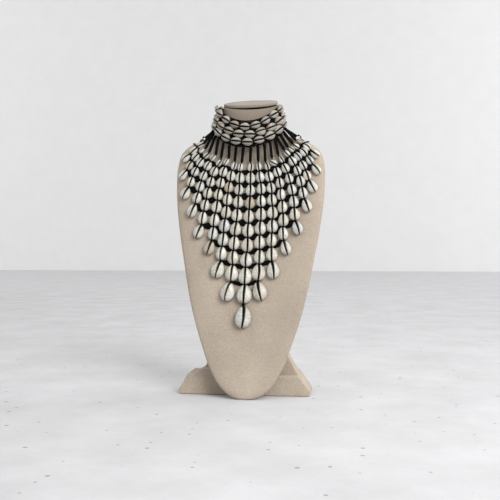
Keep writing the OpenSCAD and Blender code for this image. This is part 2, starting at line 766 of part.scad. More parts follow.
// Twelve-sided rod through a list of points
module bent_rod(points, d) {
    n = len(points);
    ring_skin([for (i = [0:n - 1])
        let (
            t = unit(points[min(i + 1, n - 1)] - points[max(i - 1, 0)]),
            side = unit(cross(t, [0, 1, 0])),
            out = cross(side, t))
        [for (a = [0:30:330]) points[i] + (side * cos(a) + out * sin(a)) * d / 2]]);
}

bust_board();
neck_cap();
stand_foot();
rear_leg();
collar_band();
collar_hem();
top_edge_cord();
back_tie();
collar_row_top();
collar_row_middle();
collar_row_bottom();
stems();
thread_net();
pendant_shell();
for (k = [-STRINGS:STRINGS])
    shell_string(k);
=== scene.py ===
"""Cowrie collar and bib on a leaning linen neck bust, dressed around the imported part.

Lengths are worked out in millimetres in the part's frame and turned to metres when a mesh is made.
Each sub-assembly is a class that knows its own shape, builds its pieces and gives them their finish.
"""

from __future__ import annotations

import logging
import math
from dataclasses import dataclass, field
from enum import Enum
from typing import Sequence

import bpy
import numpy as np
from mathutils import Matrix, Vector

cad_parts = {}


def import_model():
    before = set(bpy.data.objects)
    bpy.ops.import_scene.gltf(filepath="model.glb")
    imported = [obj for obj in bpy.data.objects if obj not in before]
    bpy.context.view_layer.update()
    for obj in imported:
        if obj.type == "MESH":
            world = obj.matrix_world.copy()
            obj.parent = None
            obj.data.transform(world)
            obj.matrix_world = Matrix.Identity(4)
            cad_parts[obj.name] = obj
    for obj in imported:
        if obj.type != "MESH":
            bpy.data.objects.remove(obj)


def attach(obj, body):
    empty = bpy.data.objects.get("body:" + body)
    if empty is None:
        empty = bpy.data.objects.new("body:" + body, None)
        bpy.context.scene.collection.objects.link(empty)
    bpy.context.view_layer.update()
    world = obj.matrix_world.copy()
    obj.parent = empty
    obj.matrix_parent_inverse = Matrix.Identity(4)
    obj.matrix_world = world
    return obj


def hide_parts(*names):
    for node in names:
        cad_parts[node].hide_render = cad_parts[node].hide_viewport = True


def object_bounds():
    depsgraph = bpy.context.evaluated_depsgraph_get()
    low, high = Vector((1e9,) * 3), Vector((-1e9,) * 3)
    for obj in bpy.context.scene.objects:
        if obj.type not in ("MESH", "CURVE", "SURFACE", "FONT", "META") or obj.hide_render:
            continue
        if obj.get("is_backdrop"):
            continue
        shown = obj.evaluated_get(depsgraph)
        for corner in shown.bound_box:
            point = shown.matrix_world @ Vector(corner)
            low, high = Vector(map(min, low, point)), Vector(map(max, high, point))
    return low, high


LOG = logging.getLogger("necklace")
MM = 0.001


# ---------------------------------------------------------------- small geometry helpers


def unit(v: np.ndarray) -> np.ndarray:
    """Scales vectors to length one.

    Args:
        v: array whose last axis holds x, y, z.

    Returns:
        The same directions with length one.
    """
    v = np.asarray(v, float)
    return v / np.maximum(np.linalg.norm(v, axis=-1, keepdims=True), 1e-12)


def sign_pow(v: np.ndarray, e: np.ndarray | float) -> np.ndarray:
    """Raises the size of each value to a power and keeps its sign.

    Args:
        v: values.
        e: exponent.

    Returns:
        sign(v) times |v| to the power e.
    """
    return np.sign(v) * np.abs(v) ** e


def smooth_step(x: np.ndarray | float) -> np.ndarray:
    """Eases from 0 to 1: three x squared minus two x cubed, held outside 0 to 1.

    Args:
        x: share of the way.

    Returns:
        The eased share.
    """
    x = np.clip(x, 0.0, 1.0)
    return x * x * (3.0 - 2.0 * x)


@dataclass(frozen=True)
class SmoothTable:
    """Columns of values at rising heights, read on a cubic curve through the rows."""

    rows: np.ndarray

    def at(self, column: int, z: np.ndarray | float) -> np.ndarray:
        """Reads one column at a height.

        The curve is the cubic Hermite one, whose slope at a row is the line between its two neighbours.

        Args:
            column: which column.
            z: heights in the table's own unit.

        Returns:
            Values with the shape of z.
        """
        h, v = self.rows[:, 0], self.rows[:, column]
        z = np.asarray(z, float)
        i = np.clip(np.searchsorted(h, z, side="right") - 1, 0, len(h) - 2)
        before, after = np.maximum(np.arange(len(h)) - 1, 0), np.minimum(np.arange(len(h)) + 1, len(h) - 1)
        slope = (v[after] - v[before]) / (h[after] - h[before])
        step = h[i + 1] - h[i]
        u = np.clip((z - h[i]) / step, 0.0, 1.0)
        rise, m0, m1 = v[i + 1] - v[i], slope[i] * step, slope[i + 1] * step
        return v[i] + m0 * u + (3 * rise - 2 * m0 - m1) * u**2 + (m0 + m1 - 2 * rise) * u**3


@dataclass
class Patch:
    """A grid of points that becomes part of a mesh.

    Attributes:
        points: rows by columns by 3, in millimetres.
        wrap_u: the last row joins the first.
        wrap_v: the last column joins the first.
        caps: closes the first and last row with a fan when the columns wrap.
        tone: one value per patch or per point, kept on the mesh as the attribute "tone".
        edge: the same for the attribute "edge", 1 where a shell meets its back; the shell finish paints shade along it.
        uv: rows by columns by 2, or None for the grid's own shares.
        flip: turns the faces over.
    """

    points: np.ndarray
    wrap_u: bool = False
    wrap_v: bool = False
    caps: bool = False
    tone: np.ndarray | float = 0.5
    edge: np.ndarray | float = 0.0
    uv: np.ndarray | None = None
    flip: bool = False

    def mesh_arrays(self) -> tuple[np.ndarray, list[np.ndarray], np.ndarray, np.ndarray]:
        """Turns the grid into vertices and faces.

        Returns:
            Vertices, a list of face arrays (quads, then cap triangles), tone and edge of each vertex, and its shares.
        """
        m, n = self.points.shape[:2]
        idx = np.arange(m * n).reshape(m, n)
        rows = np.concatenate([idx, idx[:1]]) if self.wrap_u else idx
        grid = np.concatenate([rows, rows[:, :1]], axis=1) if self.wrap_v else rows
        quads = np.stack([grid[:-1, :-1], grid[1:, :-1], grid[1:, 1:], grid[:-1, 1:]], axis=-1).reshape(-1, 4)
        verts = self.points.reshape(-1, 3)
        tone = np.stack([np.broadcast_to(self.tone, (m, n)), np.broadcast_to(self.edge, (m, n))], -1).reshape(-1, 2)
        uv = self.uv if self.uv is not None else np.stack(
            np.meshgrid(np.linspace(0, 1, m), np.linspace(0, 1, n), indexing="ij"), axis=-1)
        uv = np.asarray(uv, float).reshape(-1, 2)
        faces = [quads]
        if self.caps:
            ends = np.stack([self.points[0].mean(0), self.points[-1].mean(0)])
            a, b = m * n, m * n + 1
            verts = np.concatenate([verts, ends])
            tone = np.concatenate([tone, tone[[0, -1]]])
            uv = np.concatenate([uv, [uv[0], uv[-1]]])
            j, k = np.arange(n), (np.arange(n) + 1) % n
            faces.append(np.stack([np.full(n, a), idx[0][j], idx[0][k]], axis=-1))
            faces.append(np.stack([np.full(n, b), idx[-1][k], idx[-1][j]], axis=-1))
        if self.flip:
            faces = [f[:, ::-1] for f in faces]
        return verts, faces, tone, uv


def build_mesh(name: str, patches: Sequence[Patch], smooth: bool = True) -> bpy.types.Object:
    """Makes one object from patches, with their tones and shares as attributes.

    Args:
        name: the piece's name.
        patches: grids in millimetres.
        smooth: shades the faces smoothly.

    Returns:
        The new object, linked to the scene.
    """
    all_verts, loops, sizes, tones, uvs, base = [], [], [], [], [], 0
    for patch in patches:
        verts, faces, tone, uv = patch.mesh_arrays()
        for f in faces:
            loops.append(f.reshape(-1) + base)
            sizes.append(np.full(len(f), f.shape[1]))
        all_verts.append(verts)
        tones.append(tone)
        uvs.append(uv)
        base += len(verts)
    verts, loop, size = np.concatenate(all_verts) * MM, np.concatenate(loops), np.concatenate(sizes)
    mesh = bpy.data.meshes.new(name)
    mesh.vertices.add(len(verts))
    mesh.vertices.foreach_set("co", verts.astype(np.float32).reshape(-1))
    mesh.loops.add(len(loop))
    mesh.loops.foreach_set("vertex_index", loop.astype(np.int32))
    mesh.polygons.add(len(size))
    mesh.polygons.foreach_set("loop_start", np.concatenate([[0], np.cumsum(size)[:-1]]).astype(np.int32))
    mesh.polygons.foreach_set("loop_total", size.astype(np.int32))
    mesh.update(calc_edges=True)
    mesh.polygons.foreach_set("use_smooth", np.full(len(size), smooth))
    for column, label in enumerate(("tone", "edge")):
        layer = mesh.attributes.new(label, "FLOAT", "POINT")
        layer.data.foreach_set("value", np.ascontiguousarray(np.concatenate(tones)[:, column], np.float32))
    uv_layer = mesh.uv_layers.new(name="Shares")
    uv_layer.data.foreach_set("uv", np.concatenate(uvs)[loop].astype(np.float32).reshape(-1))
    mesh.validate()
    obj = bpy.data.objects.new(name, mesh)
    bpy.context.scene.collection.objects.link(obj)
    return obj


def resample(path: np.ndarray, step: float) -> np.ndarray:
    """Spaces points evenly along a line.

    Args:
        path: points along the line.
        step: wanted spacing in millimetres.

    Returns:
        Points at even spacing, both ends kept.
    """
    run = np.concatenate([[0], np.cumsum(np.linalg.norm(np.diff(path[:, :3], axis=0), axis=1))])
    s = np.linspace(0, run[-1], max(3, int(math.ceil(run[-1] / step)) + 1))
    return np.stack([np.interp(s, run, path[:, i]) for i in range(path.shape[1])], axis=-1)


def curve_through(points: np.ndarray, steps: int) -> np.ndarray:
    """Smooth line through points.

    Between two points it is the Catmull-Rom cubic: half of (2b + (c - a)t + (2a - 5b + 4c - d)t squared
    + (3b - a - 3c + d)t cubed), with the end points doubled.

    Args:
        points: the points to pass through.
        steps: samples in each stretch.

    Returns:
        Points along the line.
    """
    p = np.concatenate([points[:1], points, points[-1:]])
    t = np.linspace(0, 1, steps, endpoint=False)[None, :, None]
    a, b, c, d = (p[i : len(p) - 3 + i, None, :] for i in range(4))
    out = 0.5 * (2 * b + (c - a) * t + (2 * a - 5 * b + 4 * c - d) * t**2 + (3 * b - a - 3 * c + d) * t**3)
    return np.concatenate([out.reshape(-1, points.shape[1]), points[-1:]])


@dataclass(frozen=True)
class Rope:
    """A wound or twisted cord of oval section.

    Attributes:
        across: full width across the normal, in millimetres.
        deep: full depth along the normal.
        pitch: length of one winding along the cord.
        relief: depth of the grooves between windings, as a share of the size.
        strands: windings that run side by side.
        sides: points round the section.
        lean: turns of the winding round the section, 1 for a helix and 0 for rings.
    """

    across: float
    deep: float
    pitch: float = 1.2
    relief: float = 0.12
    strands: int = 1
    sides: int = 12
    lean: float = 1.0

    def patch(self, path: np.ndarray, normals: np.ndarray, tone: float = 0.5, taper: float = 0.0,
              tail: float = 0.0, girth: np.ndarray | None = None) -> Patch:
        """Carries the oval section along a path.

        At a length s and an angle t round the section the radius is the oval's, times
        1 - relief * (1 - |sin(pi * s / pitch * strands + lean * t / 2)|), and the ends close over the last taper
        length.

        Args:
            path: points along the middle line.
            normals: outward directions at the same points.
            tone: value kept for the material.
            taper: length over which each end rounds off.
            tail: length over which the far end thins out evenly.
            girth: factor on the size at each point of the path.

        Returns:
            A closed tube.
        """
        step = self.pitch / 5.0
        girth = np.ones(len(path)) if girth is None else girth
        both = resample(np.concatenate([path, normals, girth[:, None]], axis=1), step)
        line, out, girth = both[:, :3], unit(both[:, 3:6]), both[:, 6]
        run = unit(np.gradient(line, axis=0))
        out = unit(out - (out * run).sum(1, keepdims=True) * run)
        side = np.cross(run, out)
        s = np.concatenate([[0], np.cumsum(np.linalg.norm(np.diff(line, axis=0), axis=1))])
        t = np.linspace(0, 2 * math.pi, self.sides, endpoint=False)
        wave = np.sin(math.pi * s[:, None] / self.pitch * self.strands + self.lean * t / 2)
        groove = 1 - self.relief * (1 - np.abs(wave))
        close = np.ones(len(s))
        if taper > 0:
            near = np.minimum(s, s[-1] - s) / taper
            close = np.sqrt(np.clip(1 - (1 - np.clip(near, 0.0, 1.0)) ** 2, 0.02, 1.0))
        if tail > 0:
            close = close * np.clip((s[-1] - s) / tail, 0.16, 1.0)
        size = groove * (close * girth)[:, None]
        pts = (line[:, None] + side[:, None] * (self.across / 2 * np.cos(t) * size)[..., None]
               + out[:, None] * (self.deep / 2 * np.sin(t) * size)[..., None])
        uv = np.stack(np.broadcast_arrays(s[:, None] / 10.0, t[None] / (2 * math.pi)), axis=-1)
        return Patch(pts, wrap_v=True, caps=True, tone=tone, uv=uv)


def lump(centre: np.ndarray, axes: np.ndarray, sizes: Sequence[float], ridges: int = 4, relief: float = 0.1,
         tone: float = 0.5, power: float = 1.0) -> Patch:
    """A knot: an oval lump with slanted grooves.

    A point at height angle a and turn t lies at (cos a cos t, cos a sin t, sin a) times the half sizes, and its
    radius is scaled by 1 - relief * (1 - |sin(ridges * t / 2 + 2a)|).

    Args:
        centre: middle of the lump.
        axes: three unit directions as rows.
        sizes: full sizes along them.
        ridges: grooves round the lump.
        relief: depth of the grooves as a share.
        tone: value kept for the material.
        power: below 1 makes the lump squarer.

    Returns:
        A closed lump.
    """
    a = np.linspace(-math.pi / 2 * 0.94, math.pi / 2 * 0.94, 8)[:, None]
    t = np.linspace(0, 2 * math.pi, 12, endpoint=False)[None]
    r = 1 - relief * (1 - np.abs(np.sin(ridges * t / 2 + 2 * a)))
    local = np.stack([sign_pow(np.cos(a), power) * sign_pow(np.cos(t), power) * r,
                      sign_pow(np.cos(a), power) * sign_pow(np.sin(t), power) * r,
                      sign_pow(np.sin(a), power) * r * np.ones_like(t)], axis=-1) * np.asarray(sizes) / 2
    return Patch(centre + local @ axes, wrap_v=True, caps=True, tone=tone, flip=True)


# ---------------------------------------------------------------- finishes


class NodeSheet:
    """Short hand for building a material's node tree."""

    def __init__(self, name: str) -> None:
        """Starts an empty material with a surface shader.

        Args:
            name: the material's name.
        """
        self.material = bpy.data.materials.new(name)
        self.material.use_nodes = True
        self.tree = self.material.node_tree
        self.surface = self.tree.nodes["Principled BSDF"]
        self.coord = self.tree.nodes.new("ShaderNodeTexCoord").outputs["Object"]

    def node(self, kind: str, inputs: dict[str | int, object] | None = None, **settings: object) -> bpy.types.Node:
        """Adds a node.

        Args:
            kind: the node's type without the leading "ShaderNode".
            inputs: values or sockets for its inputs.
            settings: its own properties.

        Returns:
            The node.
        """
        n = self.tree.nodes.new("ShaderNode" + kind)
        for key, value in settings.items():
            setattr(n, key, value)
        for key, value in (inputs or {}).items():
            if isinstance(value, bpy.types.NodeSocket):
                self.tree.links.new(value, n.inputs[key])
            else:
                n.inputs[key].default_value = value
        return n

    def scaled(self, scale: Sequence[float]) -> bpy.types.NodeSocket:
        """Object coordinates, stretched.

        Args:
            scale: factor along each axis.

        Returns:
            The stretched coordinates.
        """
        return self.node("Mapping", {"Vector": self.coord, "Scale": tuple(scale)}).outputs["Vector"]

    def over(self, value: bpy.types.NodeSocket, start: float, gain: float) -> bpy.types.NodeSocket:
        """How far a value passes a start, times a gain, held to 0 to 1."""
        return self.math("MULTIPLY", self.math("SUBTRACT", value, start, clamp=True), gain, clamp=True)

    def noise(
        self, vector: bpy.types.NodeSocket, scale: float, detail: float = 4.0, rough: float = 0.55
    ) -> bpy.types.NodeSocket:
        """Cloudy noise from 0 to 1.

        Args:
            vector: coordinates.
            scale: how fine it is, per metre.
            detail: octaves.
            rough: strength of the finer octaves.

        Returns:
            The noise value.
        """
        values = {"Vector": vector, "Scale": scale, "Detail": detail, "Roughness": rough}
        return self.node("TexNoise", values).outputs["Fac"]

    def ramp(self, value: bpy.types.NodeSocket, stops: Sequence[tuple[float, Sequence[float]]]) -> bpy.types.NodeSocket:
        """Colour along a value.

        Args:
            value: the value.
            stops: places and colours.

        Returns:
            The colour.
        """
        n = self.node("ValToRGB", {"Fac": value})
        elements = n.color_ramp.elements
        while len(elements) < len(stops):
            elements.new(0.5)
        for e, (place, colour) in zip(elements, stops):
            e.position = place
            e.color = (*colour, 1.0)
        return n.outputs["Color"]

    def math(self, operation: str, a: object, b: object = 0.0, clamp: bool = False) -> bpy.types.NodeSocket:
        """Arithmetic on two values.

        Args:
            operation: Blender's name for it.
            a: first value or socket.
            b: second value or socket.
            clamp: holds the result between 0 and 1.

        Returns:
            The result.
        """
        return self.node("Math", {0: a, 1: b}, operation=operation, use_clamp=clamp).outputs[0]

    def mix(self, share: object, a: object, b: object, blend: str = "MIX") -> bpy.types.NodeSocket:
        """Mixes two colours.

        Args:
            share: how much of the second.
            a: first colour or socket.
            b: second colour or socket.
            blend: how they mix.

        Returns:
            The mixed colour.
        """
        n = self.node("Mix", data_type="RGBA", blend_type=blend)
        for socket, value in ((n.inputs[0], share), (n.inputs[6], a), (n.inputs[7], b)):
            if isinstance(value, bpy.types.NodeSocket):
                self.tree.links.new(value, socket)
            else:
                socket.default_value = value if isinstance(value, float) else (*value, 1.0)
        return n.outputs[2]

    def bump(self, height: bpy.types.NodeSocket, distance: float, strength: float = 1.0,
             below: bpy.types.NodeSocket | None = None) -> bpy.types.NodeSocket:
        """Relief from a height value.

        Args:
            height: the height from 0 to 1.
            distance: metres that a height of 1 stands for.
            strength: share of the effect.
            below: another relief to stand on.

        Returns:
            The bent normal.
        """
        inputs: dict[str | int, object] = {"Height": height, "Distance": distance, "Strength": strength}
        if below is not None:
            inputs["Normal"] = below
        return self.node("Bump", inputs).outputs["Normal"]

    def finish(self, colour: object, roughness: object, normal: bpy.types.NodeSocket | None = None,
               **extra: float) -> bpy.types.Material:
        """Feeds the surface shader.

        Args:
            colour: base colour or socket.
            roughness: roughness or socket.
            normal: relief.
            extra: plain values for other inputs, underscores for spaces.

        Returns:
            The material.
        """
        for key, value in (("Base Color", colour), ("Roughness", roughness), ("Normal", normal)):
            if value is None:
                continue
            if isinstance(value, bpy.types.NodeSocket):
                self.tree.links.new(value, self.surface.inputs[key])
            else:
                self.surface.inputs[key].default_value = value if isinstance(value, float) else (*value, 1.0)
        for key, value in extra.items():
            self.surface.inputs[key.replace("_", " ")].default_value = value
        return self.material


class Finish:
    """A finish that is made once and shared."""

    def material(self) -> bpy.types.Material:
        """Builds the finish.

        Returns:
            The material.
        """
        raise NotImplementedError


@dataclass(frozen=True)
class Linen(Finish):
    """Coarse undyed cloth: two crossing sets of threads with slubs.

    Attributes:
        name: the material's name.
        pale: colour of the raised threads.
        deep: colour between the threads.
        threads: threads in a metre.
    """

    name: str
    pale: tuple[float, float, float]
    deep: tuple[float, float, float]
    threads: float = 1250.0

    def material(self) -> bpy.types.Material:
        """Builds the cloth from two crossed waves, broken up by stretched noise.

        Returns:
            The material.
        """
        s = NodeSheet(self.name)
        drift = s.node("TexNoise", {"Vector": s.coord, "Scale": 90.0, "Detail": 2.0}).outputs["Color"]
        wobble = s.node("VectorMath", {0: drift,
                                       1: (0.0012, 0.0012, 0.0012)}, operation="MULTIPLY").outputs[0]
        place = s.node("VectorMath", {0: s.coord, 1: wobble}, operation="ADD").outputs[0]
        xyz = s.node("SeparateXYZ", {"Vector": place})
        run = s.math("ADD", xyz.outputs["X"], s.math("MULTIPLY", xyz.outputs["Y"], 0.8))
        warp = s.math("SINE", s.math("MULTIPLY", run, self.threads * 2 * math.pi))
        weft = s.math("SINE", s.math("MULTIPLY", xyz.outputs["Z"], self.threads * 2 * math.pi))
        cross = s.math("MULTIPLY", warp, weft)
        weave = s.math("ADD", s.math("MULTIPLY", cross, 0.5), 0.5)
        slub_up = s.noise(s.scaled((1.0, 1.0, 0.06)), 900.0, 3.0, 0.6)
        slub_over = s.noise(s.scaled((0.06, 0.06, 1.0)), 900.0, 3.0, 0.6)
        slubs = s.math("MULTIPLY", s.math("ADD", slub_up, slub_over), 0.5)
        speck = s.noise(s.coord, 620.0, 3.0, 0.7)
        blotch = s.noise(s.coord, 14.0, 3.0, 0.5)
        height = s.math("ADD", s.math("MULTIPLY", weave, 0.35), s.math("MULTIPLY", slubs, 0.65))
        fleck = s.math("ADD", s.math("MULTIPLY", height, 0.42), s.math("MULTIPLY", speck, 0.58))
        colour = s.ramp(fleck, [(0.22, self.deep), (0.78, self.pale)])
        colour = s.mix(0.22, colour, s.ramp(blotch, [(0.3, self.deep), (0.7, self.pale)]))
        # Painted shade: where the attribute "tone" is below 0.5, the cloth is mixed towards its deep colour.
        painted_shade_tone = s.node("Attribute", attribute_name="tone").outputs["Fac"]
        shade = s.math("MULTIPLY", s.math("SUBTRACT", 0.5, painted_shade_tone), 2.0, clamp=True)
        colour = s.mix(shade, colour, self.deep)
        return s.finish(colour, 0.92, s.bump(height, 0.00035, 0.7), Specular_IOR_Level=0.2)


@dataclass(frozen=True)
class Cord(Finish):
    """Black cotton: nearly black with a fine fuzzy relief.

    Attributes:
        name: the material's name.
        colour: the thread's colour.
        grain: fibres in a metre.
    """

    name: str
    colour: tuple[float, float, float]
    grain: float = 3200.0

    def material(self) -> bpy.types.Material:
        """Builds the thread.

        Returns:
            The material.
        """
        s = NodeSheet(self.name)
        fibre = s.noise(s.coord, self.grain, 3.0, 0.7)
        wear_and_painted_shade = s.noise(s.coord, 260.0, 2.0, 0.5)
        light = tuple(min(1.0, c * 2.6 + 0.003) for c in self.colour)
        colour = s.mix(s.math("MULTIPLY", fibre, 0.7), self.colour, light)
        colour = s.mix(s.math("MULTIPLY", wear_and_painted_shade, 0.4), colour, self.colour)
        return s.finish(colour, 0.95, s.bump(fibre, 0.0002, 0.8), Specular_IOR_Level=0.06)


@dataclass(frozen=True)
class Shell(Finish):
    """Cowrie: ivory enamel that differs from shell to shell, with ribbed lips, and painted shade in the grooves between
    the ribs and in the mouth.

    The attribute "tone" runs from grey-white over ivory to tan, "edge" marks the rim, which painted shade darkens, and
    the second of the shares grows with the distance from the mouth.

    Attributes:
        name: the material's name.
        tint: colour by which all of it is multiplied.
    """

    name: str
    tint: tuple[float, float, float] = (1.0, 1.0, 1.0)

    def material(self) -> bpy.types.Material:
        """Builds the enamel.

        Returns:
            The material.
        """
        s = NodeSheet(self.name)
        tone = s.node("Attribute", attribute_name="tone").outputs["Fac"]
        shares = s.node("SeparateXYZ", {"Vector": s.node("UVMap", uv_map="Shares").outputs["UV"]})
        along, across = shares.outputs["X"], shares.outputs["Y"]
        body = s.ramp(tone, [(0.0, (0.56, 0.57, 0.57)), (0.30, (0.70, 0.685, 0.64)), (0.62, (0.74, 0.69, 0.60)),
                             (0.85, (0.52, 0.43, 0.33)), (1.0, (0.36, 0.27, 0.19))])
        cloud = s.noise(s.coord, 240.0, 3.0, 0.6)
        grain = s.noise(s.coord, 820.0, 2.0, 0.6)
        body = s.mix(s.over(cloud, 0.44, 2.4), body, (0.40, 0.365, 0.31))
        body = s.mix(s.over(grain, 0.46, 2.6), body, (0.43, 0.40, 0.35))
        lip = s.math("SUBTRACT", 1.0, s.math("DIVIDE", across, 0.34), clamp=True)
        ribs = s.math("ADD", s.math("MULTIPLY", s.math("SINE", s.math("MULTIPLY", along, 2 * math.pi * 11)), 0.5), 0.5)
        rib = s.math("MULTIPLY", ribs, lip)
        # Painted shade: the grooves between the ribs, where the relief is lowest, are darkened.
        colour = s.mix(s.math("MULTIPLY", rib, 0.45), body, (0.27, 0.22, 0.16))
        tan = s.over(s.noise(s.coord, 120.0, 2.0, 0.5), 0.48, 5.0)
        colour = s.mix(s.math("MULTIPLY", s.math("MULTIPLY", tan, lip), 0.7), colour, (0.42, 0.32, 0.22))
        # Painted shade: the mouth's channel is made nearly black, standing for the shade of the shell's hollow inside.
        closeness = s.math("SUBTRACT", 1.0, s.math("DIVIDE", across, 0.115), clamp=True)
        mouth = s.math("MULTIPLY", closeness, 4.0, clamp=True)
        colour = s.mix(s.math("MULTIPLY", mouth, 0.97), colour, (0.012, 0.009, 0.007))
        # Painted shade: the enamel darkens towards the rim, where the shell meets its back.
        edge = s.node("Attribute", attribute_name="edge").outputs["Fac"]
        colour = s.mix(s.math("MULTIPLY", s.math("POWER", edge, 1.4), 0.85), colour, (0.14, 0.115, 0.09))
        colour = s.mix(1.0, colour, self.tint, "MULTIPLY")
        relief = s.bump(s.math("SUBTRACT", 1.0, rib), 0.0005, 0.7)
        pits = s.bump(s.noise(s.coord, 1100.0, 2.0, 0.6), 0.00018, 0.6, relief)
        rough = s.math("ADD", s.math("MULTIPLY", cloud, 0.25), 0.2)
        return s.finish(colour, rough, pits, Coat_Weight=0.25, Specular_IOR_Level=0.5)


@dataclass(frozen=True)
class Plain(Finish):
    """A pale matt surface of the studio.

    Attributes:
        name: the material's name.
        colour: its colour.
        mottle: strength of the soft clouds in it.
        fine: strength of the fine specks.
        dots: adds a few small dark pits.
        near: painted light and shade: how much darker it is near the camera and paler far off.
        slope: painted light: how much paler to the right.
    """

    name: str
    colour: tuple[float, float, float]
    mottle: float = 0.06
    fine: float = 0.03
    dots: bool = False
    near: float = 0.0
    slope: float = 0.0

    def material(self) -> bpy.types.Material:
        """Builds the surface from two layers of noise, under painted light that darkens it near the camera and pales it
        far off and to the right.

        Returns:
            The material.
        """
        s = NodeSheet(self.name)
        cloud = s.noise(s.coord, 9.0, 6.0, 0.65)
        speck = s.noise(s.coord, 140.0, 4.0, 0.6)
        place = s.node("SeparateXYZ", {"Vector": s.coord})
        # Painted light and shade: the colour darkens towards the camera and pales far off and to the right.
        inward = s.math("MULTIPLY", place.outputs["Y"], 0.25)
        far = s.math("ADD", inward, s.math("MULTIPLY", place.outputs["X"], self.slope), clamp=False)
        stops = [(0.12, (1 - self.near,) * 3), (0.40, (1.0,) * 3), (0.85, (1 + self.near,) * 3)]
        fade = s.ramp(s.math("ADD", far, 0.3, clamp=True), stops)
        pale = s.mix(1.0, self.colour, fade, "MULTIPLY")
        dark = s.mix(1.0, pale, (1 - 2.6 * self.mottle,) * 3, "MULTIPLY")
        colour = s.mix(s.math("MULTIPLY", s.math("SUBTRACT", cloud, 0.36, clamp=True), 3.4, clamp=True), dark, pale)
        speckle = s.mix(1.0, pale, (1 - 3 * self.fine,) * 3, "MULTIPLY")
        colour = s.mix(s.over(speck, 0.55, 2.4), colour, speckle)
        if self.dots:
            cell = s.node("TexVoronoi", {"Vector": s.coord, "Scale": 34.0, "Randomness": 1.0}, voronoi_dimensions="2D")
            chance = s.node("SeparateXYZ", {"Vector": cell.outputs["Color"]}).outputs["X"]
            pick = s.math("SUBTRACT", chance, 0.66, clamp=True)
            dot = s.math("SUBTRACT", s.math("MULTIPLY", pick, 0.28), cell.outputs["Distance"], clamp=True)
            spot = s.math("MULTIPLY", s.math("MULTIPLY", dot, 60.0, clamp=True), 0.75)
            colour = s.mix(spot, colour, (0.20, 0.20, 0.21))
        return s.finish(colour, 0.85, None, Specular_IOR_Level=0.25)


# ---------------------------------------------------------------- the bust


